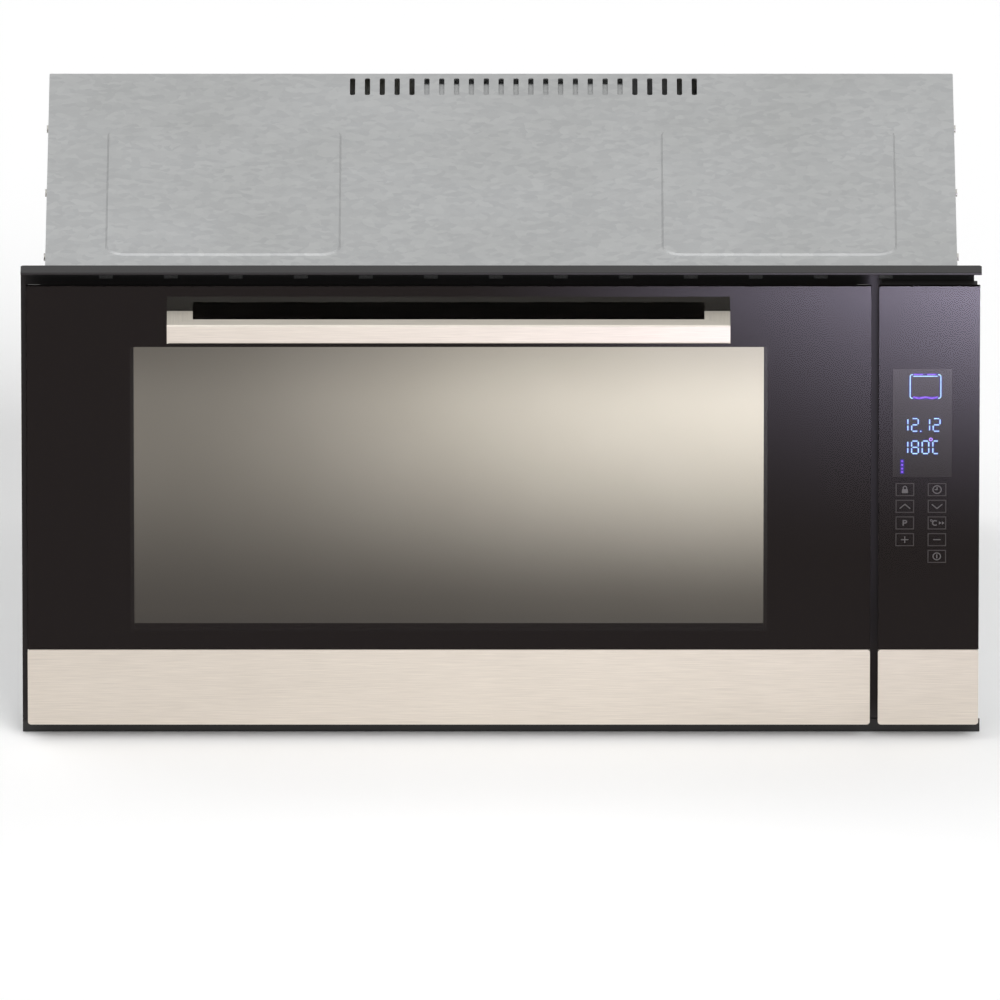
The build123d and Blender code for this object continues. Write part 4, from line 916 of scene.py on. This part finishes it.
def stage_plane(name, centre, width, length, material):
    half_x, half_y = width / 2, length / 2
    spots = [(-half_x, -half_y, 0), (half_x, -half_y, 0), (half_x, half_y, 0),
             (-half_x, half_y, 0)]
    data = bpy.data.meshes.new(name)
    data.from_pydata(spots, [], [(0, 1, 2, 3)])
    data.materials.append(material)
    plane = bpy.data.objects.new(name, data)
    plane.location = centre
    scene.collection.objects.link(plane)
    return plane


def floor_paint():
    material, tree, shader = blank("floor_paint")
    shader.inputs["Base Color"].default_value = (0.95, 0.95, 0.95, 1.0)
    matt(shader)
    return material


def card_paint():
    """Light for a card in front: mirrored rays and rays through the panes see it differently.

    It is bright to the far right and dark to the near left.
    """
    material = bpy.data.materials.new("card_paint")
    material.use_nodes = True
    tree = material.node_tree
    tree.nodes.clear()
    spot = axes(tree, tree.nodes.new("ShaderNodeTexCoord").outputs["Object"])
    across = spot["X"]
    reach = level(tree, spot["Y"], (CARD_LENGTH / 2, -CARD_LENGTH / 2), 0.0, CARD_LENGTH)

    far_rise = calc(tree, "POWER", level(tree, reach, SHEEN_AWAY, 0.0, 1.0), SHEEN_AWAY_POWER)
    right_rise = calc(tree, "POWER", level(tree, across, SHEEN_ACROSS, 0.0, 1.0),
                      SHEEN_ACROSS_POWER)
    sheen = calc(tree, "MULTIPLY", far_rise, right_rise)
    mirrored = blend_colours(tree, sheen, SHEEN_GREY, SHEEN_BRIGHT)

    right_side = level(tree, reach, RIGHT_AWAY, *RIGHT_LEVELS, smooth=True)
    left_side = level(tree, reach, LEFT_AWAY, *LEFT_LEVELS, smooth=True)
    rightness = level(tree, across, LEFT_TO_RIGHT, 0.0, 1.0, smooth=True)
    more = calc(tree, "MULTIPLY", calc(tree, "SUBTRACT", right_side, left_side), rightness)
    far_fade = level(tree, reach, FADE_AWAY, *FADE_LEVELS, smooth=True)
    through = calc(tree, "MULTIPLY", calc(tree, "ADD", left_side, more), far_fade)

    rays = tree.nodes.new("ShaderNodeLightPath")
    seen = blend_colours(tree, rays.outputs["Is Transmission Ray"], mirrored, grey(tree, through))
    glow = tree.nodes.new("ShaderNodeEmission")
    join(tree, seen, glow.inputs["Color"])
    output = tree.nodes.new("ShaderNodeOutputMaterial")
    join(tree, glow.outputs["Emission"], output.inputs["Surface"])
    return material


def add_card():
    """A bounce card on the floor in front, seen only in glass and metal."""
    card = stage_plane("card", (0, GLASS_FRONT * MM - CARD_LENGTH / 2, CARD_LIFT),
                       CARD_WIDTH, CARD_LENGTH, card_paint())
    card.visible_camera = False
    card.visible_diffuse = False
    card.visible_shadow = False


def add_world():
    """A grey room for glass and metal, even light for the rest, and white for the camera."""
    world = bpy.data.worlds.new("studio")
    scene.world = world
    world.use_nodes = True
    tree = world.node_tree
    way = axes(tree, tree.nodes.new("ShaderNodeTexCoord").outputs["Generated"])
    above = level(tree, way["Z"], HEIGHT_SPAN, *HEIGHT_LEVELS, smooth=True)
    around = level(tree, way["Y"], BACK_TO_FRONT, *ROOM_LEVELS, smooth=True)
    room = grey(tree, calc(tree, "ADD", above, around))
    rays = tree.nodes.new("ShaderNodeLightPath")
    even = (ROOM_DIFFUSE, ROOM_DIFFUSE, ROOM_DIFFUSE)
    lit_room = blend_colours(tree, rays.outputs["Is Diffuse Ray"], room, even)
    seen = blend_colours(tree, rays.outputs["Is Camera Ray"], lit_room, WHITE)
    join(tree, seen, tree.nodes["Background"].inputs["Color"])


def add_lamp(name, kind, strength):
    """A lamp that leaves no picture of itself in glass or metal."""
    data = bpy.data.lights.new(name, kind)
    data.energy = strength
    lamp = bpy.data.objects.new(name, data)
    lamp.visible_glossy = False
    lamp.visible_transmission = False
    scene.collection.objects.link(lamp)
    return data, lamp


def add_sun(name, towards, strength, angle):
    """A broad soft lamp in that direction from the object."""
    data, lamp = add_lamp(name, "SUN", strength)
    data.angle = math.radians(angle)
    x, y, z = towards
    lamp.rotation_euler = (math.atan2(math.hypot(x, y), z), 0, math.atan2(y, x) + math.pi / 2)


def add_front_light():
    """A low wide lamp close in front, which lifts the middle of the steel strip."""
    data, lamp = add_lamp("front_light", "AREA", strength=1.1)
    data.shape = "RECTANGLE"
    data.size, data.size_y = FRONT_LIGHT_SIZE
    lamp.location = (FRONT_LIGHT_X, GLASS_FRONT * MM - FRONT_LIGHT_AWAY, FRONT_LIGHT_Z)
    lamp.rotation_euler = (math.pi / 2, 0, 0)
    lamp.visible_camera = False


stage_plane("floor", (0, 0, -FLOOR_DROP), FLOOR_SIDE, FLOOR_SIDE, floor_paint())
add_card()
add_world()
add_sun("key_light", towards=(0.45, -0.75, 0.85), strength=1.35, angle=35)
add_sun("top_light", towards=(-0.5, 0.1, 1.0), strength=0.7, angle=50)
add_front_light()

# Camera

ELEVATION = math.radians(24)
DISTANCE = 40.0
FRAME_WIDTH = 0.934
SENSOR_WIDTH = 36.0
NEAREST, FARTHEST = 1.0, 400.0
TARGET_X, TARGET_Y, TARGET_Z = -0.0011, GLASS_FRONT * MM, 0.2456


def add_camera():
    """A camera far off, so that the fascia's upright edges stay parallel."""
    data = bpy.data.cameras.new("camera")
    data.sensor_width = SENSOR_WIDTH
    data.lens = SENSOR_WIDTH * DISTANCE / FRAME_WIDTH
    data.clip_start = NEAREST
    data.clip_end = FARTHEST
    camera = bpy.data.objects.new("camera", data)
    scene.collection.objects.link(camera)
    camera.location = (TARGET_X, TARGET_Y - DISTANCE * math.cos(ELEVATION),
                       TARGET_Z + DISTANCE * math.sin(ELEVATION))
    camera.rotation_euler = (math.pi / 2 - ELEVATION, 0, 0)
    scene.camera = camera


add_camera()
scene.view_settings.view_transform = "Standard"
